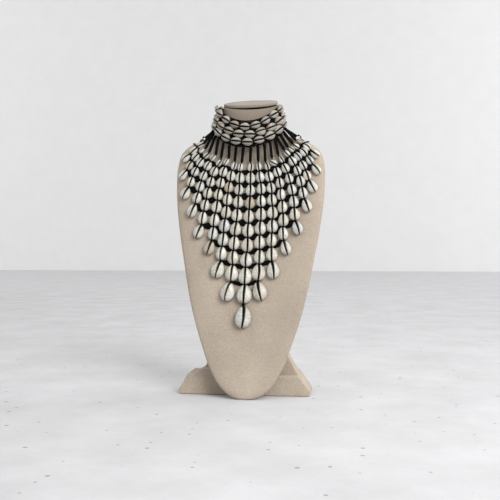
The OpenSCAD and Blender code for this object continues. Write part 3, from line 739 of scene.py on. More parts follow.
@dataclass
class Bust:
    """The leaning board with chest, neck, cap, foot and leg.

    Attributes:
        height: floor to the top of the cap.
        width: across the shoulders.
        depth: tip of the board to the back of the foot.
        lean: degrees away from upright.
        board: thickness of the board at its tip.
        neck: depth of the neck.
    """

    height: float = 394.0
    width: float = 199.0
    depth: float = 91.0
    lean: float = 10.5
    board: float = 10.0
    neck: float = 38.0
    neck_wall: float = 3.5
    hollow: float = 26.0
    cap_thick: float = 5.0
    cap_tilt: float = 18.0
    cap_gap: float = 2.2
    join_gap: float = 0.2
    foot_width: float = 174.0
    bar_height: float = 26.0
    block_height: float = 54.0
    leg_width: float = 46.0
    leg_thick: float = 10.0
    table: SmoothTable = field(default_factory=lambda: SmoothTable(np.array([
        # height, half width, front swell, rear swell, squareness
        [0.0000, 0.075, 0.12, 0.07, 2.6],
        [0.0050, 0.166, 0.16, 0.08, 3.0],
        [0.0230, 0.272, 0.18, 0.08, 4.0],
        [0.0450, 0.351, 0.18, 0.08, 5.0],
        [0.0700, 0.415, 0.18, 0.08, 6.0],
        [0.1010, 0.480, 0.18, 0.08, 7.0],
        [0.1460, 0.550, 0.18, 0.08, 7.0],
        [0.2210, 0.653, 0.19, 0.08, 7.0],
        [0.2980, 0.741, 0.21, 0.08, 7.0],
        [0.3770, 0.809, 0.24, 0.08, 7.0],
        [0.4560, 0.868, 0.27, 0.08, 6.5],
        [0.5360, 0.926, 0.31, 0.08, 6.0],
        [0.6360, 0.980, 0.41, 0.08, 4.6],
        [0.7380, 1.000, 0.54, 0.08, 3.4],
        [0.7790, 0.983, 0.60, 0.09, 3.0],
        [0.7995, 0.962, 0.62, 0.11, 2.8],
        [0.8200, 0.917, 0.63, 0.15, 2.6],
        [0.8410, 0.805, 0.61, 0.23, 2.4],
        [0.8560, 0.630, 0.58, 0.33, 2.2],
        [0.8730, 0.455, 0.55, 0.42, 2.0],
        [0.8950, 0.385, 0.53, 0.46, 2.0],
        [0.9200, 0.370, 0.53, 0.47, 2.0],
        [0.9900, 0.367, 0.53, 0.47, 2.0]])))

    @property
    def half_w(self) -> float:
        """Half the width across the shoulders."""
        return self.width / 2

    @property
    def neck_root(self) -> float:
        """Height where the neck leaves the shoulders."""
        return 0.873 * self.height

    @property
    def rim_mid(self) -> float:
        """Height of the middle of the neck's rim."""
        return 0.974 * self.height

    def back_y(self, z: np.ndarray | float) -> np.ndarray:
        """Depth of the leaning back plane: a straight line with the height.

        Args:
            z: heights.

        Returns:
            Its y.
        """
        foot = -self.depth / 2 + self.neck * 0.19 * self.board / 9.9
        return foot + np.asarray(z, float) * math.tan(math.radians(self.lean))

    def half(self, z: np.ndarray | float) -> np.ndarray:
        """Half width of the board at a height.

        Args:
            z: heights.

        Returns:
            Half widths.
        """
        return self.half_w * self.table.at(1, np.asarray(z) / self.height)

    def front(self, z: np.ndarray | float) -> np.ndarray:
        """Swell in front of the side seam.

        Args:
            z: heights.

        Returns:
            Depths.
        """
        gain = self.board / 9.9
        gain = gain + (1 - gain) * np.clip(np.asarray(z) / self.neck_root, 0, 1)
        return self.neck * self.table.at(2, np.asarray(z) / self.height) * gain

    def rear(self, z: np.ndarray | float) -> np.ndarray:
        """Swell behind the side seam.

        Args:
            z: heights.

        Returns:
            Depths.
        """
        return self.neck * self.table.at(3, np.asarray(z) / self.height)

    def square(self, z: np.ndarray | float) -> np.ndarray:
        """Squareness of the front half of the section.

        Args:
            z: heights.

        Returns:
            Exponents of the oval.
        """
        return self.table.at(4, np.asarray(z) / self.height)

    def rear_square(self, z: np.ndarray | float) -> np.ndarray:
        """Squareness of the rear half, which turns round towards the neck.

        Args:
            z: heights.

        Returns:
            Exponents of the oval.
        """
        return 4 - 2 * np.clip((np.asarray(z) / self.height - 0.82) / 0.06, 0, 1)

    def seam_y(self, z: np.ndarray | float) -> np.ndarray:
        """Depth of the side seam.

        Args:
            z: heights.

        Returns:
            Its y.
        """
        return self.back_y(z) - self.rear(z)

    def front_y(self, x: np.ndarray | float, z: np.ndarray | float) -> np.ndarray:
        """Depth of the front: the seam less the swell times (1 - |x / half| to the n) to the 1/n.

        Args:
            x: sideways places.
            z: heights.

        Returns:
            Its y.
        """
        n, u = self.square(z), np.minimum(0.985, np.abs(x) / self.half(z))
        return self.seam_y(z) - self.front(z) * (1 - u**n) ** (1 / n)

    def rear_y(self, x: np.ndarray | float, z: np.ndarray | float) -> np.ndarray:
        """Depth of the rear, the same oval behind the seam.

        Args:
            x: sideways places.
            z: heights.

        Returns:
            Its y.
        """
        n, u = self.rear_square(z), np.minimum(0.985, np.abs(x) / self.half(z))
        return self.seam_y(z) + self.rear(z) * (1 - u**n) ** (1 / n)

    def on_front(self, x: np.ndarray | float, z: np.ndarray | float) -> tuple[np.ndarray, np.ndarray]:
        """Points of the front and the outward directions there.

        Args:
            x: sideways places.
            z: heights.

        Returns:
            Points and unit normals.
        """
        x, z, e = np.asarray(x, float), np.asarray(z, float), 0.4
        gx = (self.front_y(x + e, z) - self.front_y(x - e, z)) / (2 * e)
        gz = (self.front_y(x, z + e) - self.front_y(x, z - e)) / (2 * e)
        return np.stack([x, self.front_y(x, z), z], -1), unit(np.stack([gx, -np.ones_like(gx), gz], -1))

    def on_rear(self, x: float, z: float) -> tuple[np.ndarray, np.ndarray]:
        """A point of the rear and the outward direction there.

        Args:
            x: sideways place.
            z: height.

        Returns:
            The point and its unit normal.
        """
        e = 0.4
        gx = (self.rear_y(x + e, z) - self.rear_y(x - e, z)) / (2 * e)
        gz = (self.rear_y(x, z + e) - self.rear_y(x, z - e)) / (2 * e)
        return np.array([x, float(self.rear_y(x, z)), z]), unit(np.array([-gx, 1.0, -gz]))

    def on_ridge(self, side: int, share: float) -> tuple[np.ndarray, np.ndarray]:
        """The top of the shoulder at a sideways place.

        Args:
            side: -1 left, 1 right.
            share: place as a share of the half width.

        Returns:
            The point and the upward, slightly outward direction.
        """
        x, lo, hi = share * self.half_w, 0.82 * self.height, 0.873 * self.height
        for _ in range(24):
            mid = (lo + hi) / 2
            lo, hi = (mid, hi) if self.half(mid) > x else (lo, mid)
        return np.array([side * x, float(self.seam_y(lo)), lo]), unit(np.array([side * 0.4, 0, 0.9]))

    def rim_z(self, y: np.ndarray, front: np.ndarray) -> np.ndarray:
        """Height of the neck's rim under the tilted cap.

        Args:
            y: depths.
            front: how far to the front, 0 to 1.

        Returns:
            Heights: the cap's underside less a gap that grows with the square of front.
        """
        pivot = self.back_y(self.rim_mid) - self.rear(self.rim_mid)
        climb = (y - pivot) * math.tan(math.radians(self.cap_tilt))
        return self.rim_mid + climb - self.join_gap - self.cap_gap * front**2

    def section(self, z: float, turn: np.ndarray, wall: float = 0.0, top: float = 0.0) -> np.ndarray:
        """One ring round the bust.

        x is the half width times cos to the 2/n, y the seam less the swell times sin to the 2/n.

        Args:
            z: its height.
            turn: angles, the front at a quarter turn.
            wall: inset.
            top: how far it follows the rim instead of lying level.

        Returns:
            The ring's points.
        """
        c, s = np.cos(turn), np.sin(turn)
        w, f, r = float(self.half(z)) - wall, float(self.front(z)) - wall, float(self.rear(z)) - wall
        e = np.where(s > 0, 2 / float(self.square(z)), 2 / float(self.rear_square(z)))
        x, y = w * sign_pow(c, e), float(self.seam_y(z)) - np.where(s > 0, f, r) * sign_pow(s, e)
        return np.stack([x, y, z + top * (self.rim_z(y, np.maximum(0, s)) - z)], -1)

    def even_section(self, z: float, count: int, **how: float) -> np.ndarray:
        """A ring with its points spread evenly along it.

        Args:
            z: its height.
            count: points round it.
            how: passed on to section.

        Returns:
            The ring's points.
        """
        fine = self.section(z, np.linspace(0, 2 * math.pi, 2881), **how)
        run = np.concatenate([[0], np.cumsum(np.linalg.norm(np.diff(fine[:, :2], axis=0), axis=1))])
        s = np.linspace(0, run[-1], count, endpoint=False)
        return np.stack([np.interp(s, run, fine[:, i]) for i in range(3)], -1)

    def build_board(self) -> bpy.types.Object:
        """Board, chest and hollow neck in one skin.

        Rings are stacked by height, then follow the rim, roll over it by half a circle and go down inside the neck.

        Returns:
            The piece.
        """
        count = 260
        tip = self.height * 0.005
        low = tip * np.sin(np.linspace(0, math.pi / 2, 5)) ** 2 * 0.999
        mid = np.linspace(tip, self.neck_root * 0.97, 118)
        high = np.linspace(self.neck_root * 0.97, self.neck_root, 8)[1:]
        rings = [self.even_section(float(z), count) for z in np.concatenate([low, mid[1:], high])]
        rings += [self.even_section(self.neck_root + (self.rim_mid - self.neck_root) * v, count, top=v)
                  for v in np.linspace(0, 1, 18)[1:]]
        for t in np.linspace(0, math.pi, 9)[1:]:
            ring = self.even_section(self.rim_mid, count, wall=self.neck_wall * (1 - math.cos(t)) / 2, top=1.0)
            rings.append(ring - [0, 0, 1.1 * (1 - math.sin(t))])
        inner = self.even_section(self.rim_mid, count, wall=self.neck_wall, top=1.0) - [0, 0, 1.1]
        for v in np.linspace(0, 1, 6)[1:]:
            ring = inner.copy()
            ring[:, 2] += v * (self.rim_mid - self.hollow - inner[:, 2])
            rings.append(ring)
        skin = np.stack(rings)
        side = skin[..., 0] / self.half(np.clip(skin[..., 2], 4.0, self.height))
        # Painted shade: tone falls at the neck, which lies in the shade of the cap and the collar, and towards both
        # sides of the board, where the front turns away from the light.
        tone = 0.5 - 0.46 * smooth_step((skin[..., 2] / self.height - 0.865) / 0.03)
        tone = np.maximum(tone - 0.10 * smooth_step((np.abs(side + 0.1) - 0.2) / 0.6), 0.03)
        return build_mesh("linen_board", [Patch(skin, wrap_v=True, caps=True, tone=tone)])

    def build_cap(self) -> bpy.types.Object:
        """The padded cap: an oval pad with a rolled edge, a shallow crown and a seam round it.

        Returns:
            The piece.
        """
        z = self.rim_mid
        w, f, r = float(self.half(z)), float(self.front(z)) + 1.2, float(self.rear(z)) + 1.2
        pivot = float(self.back_y(z) - self.rear(z))
        turn = np.linspace(0, 2 * math.pi, 200, endpoint=False)
        e = np.where(np.sin(turn) > 0, 1.0, 2 / float(self.rear_square(z)))
        roll = np.linspace(-math.pi / 2, math.pi / 2, 17)
        inset = np.concatenate([[20, 8], 1.9 * (1 - np.cos(roll)), [4.5, 9, 16, 24]])
        rise = np.concatenate([[0.0, 0.0], 0.46 * (1 + np.sin(roll)), [0.985, 1.04, 1.12, 1.16]]) * self.cap_thick
        seam = 0.35 * np.exp(-(((np.arange(len(inset)) - 10) / 0.8) ** 2))
        grow = (inset + seam)[:, None]
        x = np.maximum(w - grow, 0.5) * sign_pow(np.cos(turn), e)
        span_y = np.where(np.sin(turn) > 0, f, r)
        y = -np.maximum(span_y - grow * span_y / w, 0.3) * sign_pow(np.sin(turn), e)
        soft = 0.10 * np.sin(3 * turn + 1.0) + 0.06 * np.sin(7 * turn)
        h = np.broadcast_to(rise[:, None], x.shape) + soft * (rise / self.cap_thick)[:, None]
        a = math.radians(self.cap_tilt)
        level_z = z + y * math.sin(a) + h * math.cos(a) + 0.026 * x
        pts = np.stack([x, pivot + y * math.cos(a) - h * math.sin(a), level_z], -1)
        return build_mesh("linen_cap_pad", [Patch(pts, wrap_v=True, caps=True)])

    def covered_block(
        self, corners: np.ndarray, y0: float, y1: float, radius: float, drop: np.ndarray | None = None
    ) -> Patch:
        """A flat outline carried from front to back with rounded edges.

        Corners are rounded by mixing each corner with points on its two sides along a quadratic curve, and near
        each end the outline shrinks by radius * (1 - sin t) while the depth goes on by radius * (1 - cos t).

        Args:
            corners: outline as x and z, anticlockwise from the front.
            y0: front.
            y1: back.
            radius: rounding of all edges.
            drop: extra lowering of the top, as a list of depth share and millimetres.

        Returns:
            A closed block.
        """
        before, after = np.roll(corners, 1, axis=0), np.roll(corners, -1, axis=0)
        room_a = np.linalg.norm(before - corners, axis=1, keepdims=True)
        room_b = np.linalg.norm(after - corners, axis=1, keepdims=True)
        a = corners + (before - corners) * np.minimum(0.45, radius * 2.2 / room_a)
        b = corners + (after - corners) * np.minimum(0.45, radius * 2.2 / room_b)
        t = np.linspace(0, 1, 9)[:, None, None]
        arc = ((1 - t) ** 2 * a + 2 * t * (1 - t) * corners + t**2 * b).transpose(1, 0, 2).reshape(-1, 2)
        line = resample(np.concatenate([arc, arc[:1]]), 1.6)[:-1]
        run = unit(np.roll(line, -1, axis=0) - np.roll(line, 1, axis=0))
        inward = np.stack([-run[:, 1], run[:, 0]], -1)
        q = np.linspace(0, math.pi / 2, 6)
        inset = np.concatenate([radius * (1 - np.sin(q)), np.zeros(18), radius * (1 - np.sin(q[::-1]))])
        y = np.concatenate([y0 + radius * (1 - np.cos(q)), np.linspace(y0 + radius, y1 - radius, 20)[1:-1],
                            y1 - radius * (1 - np.cos(q[::-1]))])
        flat = line[None] + inward[None] * inset[:, None, None]
        middle = line.mean(0)
        face = middle + (flat[0] - middle) * np.array([0.3, 0.6, 0.85, 0.97])[:, None, None]
        flat = np.concatenate([face, flat, face[::-1]])
        y = np.concatenate([np.full(4, y0), y, np.full(4, y1)])
        if drop is not None:
            fall = np.interp((y - y0) / (y1 - y0), drop[:, 0], drop[:, 1])
            top = corners[:, 1].max()
            flat[..., 1] -= fall[:, None] * smooth_step((flat[..., 1] - top * 0.45) / (top * 0.55))
        depth = np.broadcast_to(y[:, None], flat.shape[:2])
        return Patch(np.stack([flat[..., 0], depth, flat[..., 1]], -1), wrap_v=True, caps=True, flip=True)

    def build_foot(self) -> bpy.types.Object:
        """Low front bar and taller rear block, both wrapped in cloth that bulges at the left end.

        Returns:
            The piece.
        """
        half, shift = self.foot_width / 2, -0.032 * self.foot_width
        front = -0.17 * self.depth
        block_front = front + 0.175 * self.depth
        bar = np.array([[0.00, 0.99], [0.25, 1.00], [1.00, 0.83]]) * [self.bar_height, half]
        block = np.array(
            [[0.00, 0.91], [0.15, 0.88], [0.35, 0.80], [0.52, 0.73], [0.67, 0.675], [0.92, 0.60], [1.00, 0.57]]
        )
        block = block * [self.block_height, half]
        outline = lambda rows, dx: np.concatenate([np.stack([dx - rows[:, 1], rows[:, 0]], -1)[::-1],
                                                   np.stack([dx + rows[:, 1], rows[:, 0]], -1)])
        drop = np.array([[0.0, 0.0], [0.47, 0.0], [0.72, 4.3], [0.89, 11.9], [1.0, 20.5]])
        low = self.covered_block(outline(bar, shift), front, front + 0.5 * self.depth, 1.6)
        x, z = low.points[..., 0], low.points[..., 2]
        swell_at = [-92, -86, -81, -75, -70, -64, -58, -50, -20, 0]
        swell = np.interp(x, swell_at, [3.8, 6.0, 4.8, 1.4, 2.2, 6.0, 7.8, 9.0, 4.0, 0.0])
        low.points[..., 2] = z + swell * smooth_step((z / self.bar_height - 0.45) / 0.55)
        rear = self.covered_block(outline(block, 0.0), block_front, self.depth / 2, 1.8, drop)
        return build_mesh("linen_foot", [low, rear])

    def build_leg(self) -> bpy.types.Object:
        """Upright leg, cut on the slant where it meets the board.

        Returns:
            The piece.
        """
        y0 = -0.17 * self.depth + 0.175 * self.depth + 1
        slope = math.tan(math.radians(self.lean))
        top = lambda y: (y - float(self.back_y(0.0)) - self.join_gap) / slope
        w, z0, y1 = self.leg_width / 2, self.block_height + self.join_gap, y0 + self.leg_thick
        patch = self.covered_block(np.array([[-w, z0], [w, z0], [w, top(y0)], [-w, top(y0)]]), y0, y1, 1.2)
        z, y = patch.points[..., 2], patch.points[..., 1]
        patch.points[..., 2] = z + (top(y) - top(y0)) * smooth_step((z - z0) / (top(y0) - z0)) ** 2
        return build_mesh("linen_leg", [patch])

    def dress(self, linen: bpy.types.Material, cap_linen: bpy.types.Material) -> list[bpy.types.Object]:
        """Builds every piece of the bust and hangs it on the frame.

        Args:
            linen: cloth of the board and foot.
            cap_linen: cloth of the cap.

        Returns:
            The pieces.
        """
        cap = self.build_cap()
        pieces = [(self.build_board(), "bust_board", "linen", linen), (cap, "neck_cap", "linen_cap", cap_linen),
                  (self.build_foot(), "stand_foot", "linen", linen), (self.build_leg(), "rear_leg", "linen", linen)]
        for obj, node, slot, finish in pieces:
            mount_piece(obj, [node], finish)
        return [p[0] for p in pieces]


def mount_piece(obj: bpy.types.Object, nodes: Sequence[str], finish: bpy.types.Material) -> None:
    """Gives a piece its finish and its place in the frame.

    Args:
        obj: the piece.
        nodes: the part's nodes it stands for.
        finish: its material.
    """
    obj.data.materials.clear()
    obj.data.materials.append(finish)
    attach(obj, "root")
    if nodes:
        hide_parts(*nodes)
    LOG.info("%s: %d faces, for %s", obj.name, len(obj.data.polygons), ", ".join(nodes) or "itself")


# ---------------------------------------------------------------- cowries


class Mood(Enum):
    """How a shell differs from its neighbours."""

    PALE = 0.42
    TAN = 0.9


@dataclass
class Cowries:
    """Fine cowries, mouth outwards, all from one grid.

    Attributes:
        along: rows from the narrow to the wide end.
        around: columns from rim to rim over the mouth.
        under: columns across the flat back.
        high: height as a share of the length.
        floor: height of the mouth's floor over the back.
    """

    along: int = 28
    around: int = 35
    under: int = 5
    high: float = 0.3
    floor: float = 0.75

    def mouth(self, length: float) -> float:
        """Width of a shell's mouth: a plain share of the length and a little more.

        Args:
            length: the shell's length.

        Returns:
            Millimetres.
        """
        return 0.95 + 0.055 * length

    def grid(self, length: float, width: float, skew: float = 0.0, bow: float = 0.0, narrow: float = 0.0,
             point: float = 0.5) -> tuple[np.ndarray, np.ndarray, np.ndarray]:
        """One shell in its own axes: x across, y to the narrow end, z out of the flat back.

        The outline's half width is w/2 * (1 - y squared) to the point * (1 - 0.20 y), with y from 1 at the narrow
        end to -1. Over it the height is h * (1 - |y| to the 3.2) to the 0.55 * |cos| to the 0.64 of the turn from
        rim to rim. The mouth is a channel along a bowed line, and a lip swells on each side of it.

        Args:
            length: the shell's length.
            width: width as a share of the length.
            skew: sideways bend of the outline.
            bow: sideways bow of the mouth.
            narrow: how much the mouth closes towards the wide end.
            point: 0.5 for round ends, more for pointed ones.

        Returns:
            The points, their shares along and away from the mouth (0.1 for half its width), and their edge values,
            which fall from 1 at the back to 0 at half the height.
        """
        q = np.linspace(0.07, math.pi - 0.07, self.along)
        y = np.cos(q)[:, None]
        turn = sign_pow(np.linspace(1, -1, self.around), 1.45)[None] * math.pi / 2
        a = length * width / 2 * (1 - y**2) ** point * (1 - 0.20 * y) * 1.02
        h = length * self.high * (1 - np.abs(y) ** 3.2) ** 0.55 * (1 - 0.10 * y)
        x = a * sign_pow(np.sin(turn), 0.86)
        z = h * np.abs(np.cos(turn)) ** 0.64
        line = bow * length * (1 - y**2)
        half = self.mouth(length) / 2 * (1 + 0.9 * narrow) * (1 + narrow * (y - 1) / 2)
        off = (x - line) / half
        open_ = smooth_step((1 - np.abs(y)) / 0.10 + 0.15)
        lips = 0.045 * length * np.exp(-(((np.abs(off) - 2.1) / 1.3) ** 2)) * open_ * np.where(x > line, 1.0, 0.75)
        z = z + lips * np.minimum(1, h / (0.2 * length))
        z = z - (z - np.minimum(z, self.floor)) * np.exp(-np.abs(off) ** 4.0) * np.clip(open_ + 0.35, 0, 1)
        x = x + skew * length * (1 - y**2)
        top = np.stack(np.broadcast_arrays(x, y * length / 2, z), -1)
        span = np.linspace(1, 0, self.under + 2)[None, 1:-1]
        under_x = top[:, :1, 0] * (1 - span) + top[:, -1:, 0] * span
        under = np.stack(np.broadcast_arrays(under_x, y * length / 2, np.zeros(1)), -1)
        along, across = q[:, None] / math.pi, np.clip(0.1 * np.abs(off), 0, 1)
        shares = np.stack(np.broadcast_arrays(along, across), -1)
        under_shares = np.stack(np.broadcast_arrays(along, np.ones((1, self.under))), -1)
        # The edge values mark where the shell finish paints shade along the rim.
        near_rim = np.clip(1 - z / (0.62 * self.high * length), 0, 1)
        edge = np.concatenate([near_rim, np.ones((self.along, self.under))], 1)
        return np.concatenate([top, under], 1), np.concatenate([shares, under_shares], 1), edge

    @staticmethod
    def bends(seed: float, narrow: float) -> tuple[float, float]:
        """Small sideways bends of one shell, the same ones for its cord.

        Args:
            seed: the shell's own number.
            narrow: how much its mouth closes.

        Returns:
            Bend of the outline and bow of the mouth, as shares of the length.
        """
        return 0.016 * math.sin(7.1 * seed), (0.026 + 0.03 * narrow) * math.sin(3.3 * seed + 1)

    def seated(self, place: np.ndarray, run: np.ndarray, normal: np.ndarray, length: float, width: float,
               tone: float, roll: float = 0.0, seed: float = 0.0, narrow: float = 0.0, point: float = 0.5) -> Patch:
        """A shell on its place, its narrow end against the run of the string.

        Args:
            place: middle of its flat back.
            run: direction of the string.
            normal: outward direction.
            length: its length.
            width: width as a share of the length.
            tone: its colour value.
            roll: turn about its own length, in degrees.
            seed: any number, which sets its small bends.
            narrow: how much the mouth closes towards the wide end.
            point: 0.5 for round ends, more for pointed ones.

        Returns:
            The shell.
        """
        skew, bow = self.bends(seed, narrow)
        pts, shares, edge = self.grid(length, width, skew, bow, narrow, point)
        up = unit(-run + (run @ normal) * normal)
        side = np.cross(up, normal)
        c, s = math.cos(math.radians(roll)), math.sin(math.radians(roll))
        side, normal = side * c + normal * s, normal * c - side * s
        lift = abs(s) * length * width * 0.30
        return Patch(place + normal * lift + pts @ np.stack([side, up, normal]), wrap_v=True, caps=True, tone=tone,
                     edge=edge, uv=shares, flip=True)


# ---------------------------------------------------------------- the collar


@dataclass
class Collar:
    """The choker: woven band, hem, scalloped top edge and three rows of cowries.

    Attributes:
        bust: the bust it is worn on.
        half_w: half width at the top edge.
        depth: depth of its front at the top edge.
    """

    bust: Bust
    half_w: float = 38.8
    depth: float = 24.5
    flare: float = 6.7
    high_share: float = 0.0838
    drop_share: float = 0.0609
    band: float = 1.6
    shell: float = 13.6
    count: int = 13
    knot: float = 1.4
    shift: float = -1.2
    side_height: float = 0.85
    hem_top: float = 0.942
    hem_low: float = 1.03
    rows: tuple[tuple[str, float, float], ...] = (
        ("top", 0.17, -0.175), ("middle", 0.475, 0.29), ("bottom", 0.78, 0.08),
    )

    def __post_init__(self) -> None:
        """Takes height, drop and place from the bust."""
        top = 0.968 * self.bust.height
        self.height = self.high_share * self.bust.height
        self.drop = self.drop_share * self.bust.height
        self.middle = float(self.bust.seam_y(top)) - 0.185 * self.bust.neck

    def at(self, turn: np.ndarray | float, v: np.ndarray | float, out: np.ndarray | float = 0.0) -> np.ndarray:
        """A point of the collar.

        x is the half width plus flare times v, times sin; y the depth times cos, which behind the neck shrinks
        with the neck's lean; z falls by v times the height and from the side level by drop times cos, which at the
        top edge is taken to the power 1.6.

        Args:
            turn: degrees from the front.
            v: share of the height, from the top edge.
            out: distance out of the band.

        Returns:
            The points.
        """
        turn, v, out = np.broadcast_arrays(np.asarray(turn, float), v, out)
        a = np.radians(turn)
        lean = self.height * math.tan(math.radians(self.bust.lean))
        deep = np.where(np.cos(a) > 0, self.depth + self.flare * 0.5 * v, 0.82 * self.bust.neck - lean * v) + out
        level = np.cos(np.radians(np.minimum(np.abs(turn), 90)))
        level = level ** (1.6 - 0.6 * np.clip(v, 0, 1))
        fall = v * self.height * (np.cos(a) ** 2 + self.side_height * np.sin(a) ** 2)
        return np.stack([self.shift + (self.half_w + self.flare * v + out) * np.sin(a), self.middle - deep * np.cos(a),
                         0.968 * self.bust.height - self.drop * level - fall], -1)

    def angle(self, s: np.ndarray | float) -> np.ndarray:
        """Turn that lies a length round the ring from the front.

        Args:
            s: lengths, negative to the left.

        Returns:
            Degrees.
        """
        turns = np.arange(0, 181)
        line = self.at(turns, 0.5, 3.0)
        run = np.concatenate([[0], np.cumsum(np.linalg.norm(np.diff(line, axis=0), axis=1))])
        return np.sign(s) * np.interp(np.abs(s), run, turns)

    @property
    def pitch(self) -> float:
        """Spacing of the shells in a row."""
        return self.shell + self.knot

    def places(self, stagger: float) -> np.ndarray:
        """Lengths round the ring of one row's shells.

        Args:
            stagger: shift of the row in shells.

        Returns:
            The lengths.
        """
        return (np.arange(self.count) - (self.count - 1) / 2 + stagger) * self.pitch

    def frame_at(self, turn: float, v: float) -> tuple[np.ndarray, np.ndarray]:
        """Directions along and out of the band.

        Args:
            turn: degrees from the front.
            v: share of the height.

        Returns:
            The run round the ring and the outward direction.
        """
        run = unit(self.at(turn + 2, v, 3.0) - self.at(turn - 2, v, 3.0))
        down = unit(self.at(turn, v + 0.1, 3.0) - self.at(turn, v - 0.1, 3.0))
        n = unit(np.cross(down, run))
        radial = np.array([math.sin(math.radians(turn)), -math.cos(math.radians(turn)), 0.0])
        return run, n * np.sign(n @ radial)

    def build_row(
        self, cowries: Cowries, name: str, v: float, stagger: float, rng: np.random.Generator
    ) -> bpy.types.Object:
        """One row of shells laid on their sides round the band.

        Args:
            cowries: the shell maker.
            name: the row's name.
            v: its place between top edge and hem.
            stagger: its shift in shells.
            rng: seeded source of small differences.

        Returns:
            The piece.
        """
        patches = []
        for s in self.places(stagger):
            turn = float(self.angle(s))
            run, out = self.frame_at(turn, v)
            rear = math.cos(math.radians(turn)) < 0
            length = self.shell * (0.93 if rear else 1 + 0.11 * (v - 0.5))
            side = math.sin(math.radians(turn)) ** 2
            width = 0.655 * (1 + 0.14 * side) * rng.uniform(0.94, 1.06)
            lift = v + 0.045 * (1 - side) - (0.09 * side if v < 0.2 else 0.0)
            tilt = rng.normal(0, 0.07)
            run = unit(run + tilt * np.cross(out, run))
            tone = float(np.clip(rng.normal(0.54, 0.20), 0.05, 0.9))
            patches.append(cowries.seated(self.at(turn, lift, self.band) + out * (self.bust.join_gap + 0.15), run, out,
                                          length * rng.uniform(1.08, 1.13), width, tone, rng.normal(0, 9), s,
                                          narrow=0.15, point=0.66))
        return build_mesh(f"cowries_{name}_row", patches)

    def build_band(self) -> bpy.types.Object:
        """The woven band: ribs run round it, and small knots stand between the shells.

        The outer face stands out by 0.18 * |sin| of the height in ribs, times a weave along the ring.

        Returns:
            The piece.
        """
        turn = np.linspace(-180, 180, 360, endpoint=False)[:, None]
        v = np.concatenate([np.linspace(0.02, 0.935, 66), np.linspace(0.935, 0.02, 12)])
        face = np.concatenate([np.full(66, self.band), np.zeros(12)])
        face[[0, 65]] *= 0.5
        rib = np.abs(np.sin(math.pi * v * self.height / 1.5)) * 0.25
        weave = 0.5 + 0.5 * np.sin(np.radians(turn) * 95 + math.pi * np.round(v * self.height / 1.5))
        outer = (face > 1)[None]
        out = face[None] + np.where(outer, rib[None] * (0.5 + 0.5 * weave) - 0.2, 0.0)
        patches = [Patch(self.at(turn, v[None], out), wrap_u=True, wrap_v=True, flip=True)]
        for _, row, stagger in self.rows:
            patches.append(self.row_cord(row, self.places(stagger)))
            spots = self.places(stagger)
            for s in np.concatenate([spots - self.pitch / 2, spots[-1:] + self.pitch / 2]):
                a = float(self.angle(s))
                run, out_dir = self.frame_at(a, row)
                axes = np.stack([run, np.cross(out_dir, run), out_dir])
                patches.append(lump(self.at(a, row, self.band + 0.9), axes, (1.5, 2.8, 2.6), 3, 0.14))
                for dv in (-0.075, 0.075):
                    patches.append(lump(self.at(a, row + dv, self.band + 0.3), axes, (1.7, 2.4, 1.6), 3, 0.14))
        return build_mesh("woven_band", patches)

    def row_cord(self, v: float, places: np.ndarray) -> Patch:
        """The cord on which one row is threaded.

        It rises in each shell's mouth and dips between two shells: the height over the band is
        1.3 + 1.6 * |cos(pi * s / pitch)| to the 0.8, with s counted from the first shell.

        Args:
            v: the row's place on the collar's height.
            places: lengths round the ring of its shells.

        Returns:
            A wound cord.
        """
        s = np.linspace(places[0] - self.pitch * 0.55, places[-1] + self.pitch * 0.55, 24 * len(places))
        turn = self.angle(s)
        side = np.sin(np.radians(turn)) ** 2
        out = self.band + 1.3 + 1.7 * np.abs(np.cos(math.pi * (s - places[0]) / self.pitch)) ** 0.8
        v = v + 0.045 * (1 - side) - (0.09 * side if v < 0.2 else 0.0)
        path = self.at(turn, v, out)
        return Rope(1.7, 1.4, 1.9, 0.2, 1, 8).patch(path, unit(self.at(turn, v, out + 1) - path), taper=0.5)

    def build_hem(self) -> bpy.types.Object:
        """The thick hem: three strands plaited round the ring.

        Each strand swings up and down as a sine of the length, a third of a turn after the last, and in and out
        at twice that rate, so that they pass over each other.

        Returns:
            The piece.
        """
        turn = np.linspace(-180, 180, 1400, endpoint=False)
        line = self.at(turn, 0.985, self.band * 0.5)
        run = np.concatenate([[0], np.cumsum(np.linalg.norm(np.diff(line, axis=0), axis=1))])
        phase = run / 7.0 * 2 * math.pi
        phase = phase * round(phase[-1] / (2 * math.pi)) * 2 * math.pi / phase[-1]
        patches = []
        for k in range(3):
            p = phase + k * 2 * math.pi / 3
            v = 0.984 + 0.024 * np.sin(p)
            out = 0.9 + 0.62 * np.sin(2 * p)
            path = self.at(turn, v, out)
            path = np.concatenate([path, path[:1]])
            outward = self.at(turn, v, out + 1) - self.at(turn, v, out)
            normals = unit(np.concatenate([outward, outward[:1]]))
            patches.append(Rope(1.7, 1.6, 1.4, 0.12, 1, 7).patch(path, normals))
        core = Rope(2.5, 1.7, 2.6, 0.1, 2, 8)
        path = self.at(turn, 0.985, 0.2)
        loop = np.concatenate([path, path[:1]])
        patches.append(core.patch(loop, unit(loop - path.mean(0))))
        return build_mesh("plaited_hem", patches)

    def build_edge(self) -> bpy.types.Object:
        """The cord along the top edge with a row of small loops on it.

        Returns:
            The piece.
        """
        turn = np.linspace(-180, 180, 900)
        level = -0.006 + 0.05 * np.sin(np.radians(turn)) ** 2
        path = self.at(turn, level, 1.0)
        outward = unit(self.at(turn, level, 2.0) - path)
        run = np.concatenate([[0], np.cumsum(np.linalg.norm(np.diff(path, axis=0), axis=1))])
        loops = round(run[-1] / 3.1)
        arch = np.abs(np.sin(math.pi * run / run[-1] * loops)) ** 0.7
        scallop = self.at(turn, level - 0.006 - 0.02 * arch, 1.2)
        patches = [
            Rope(1.5, 1.6, 1.4, 0.14, 1, 8).patch(path, outward),
            Rope(0.9, 1.0, 1.2, 0.12, 1, 6).patch(scallop, outward),
        ]
        return build_mesh("scalloped_edge", patches)

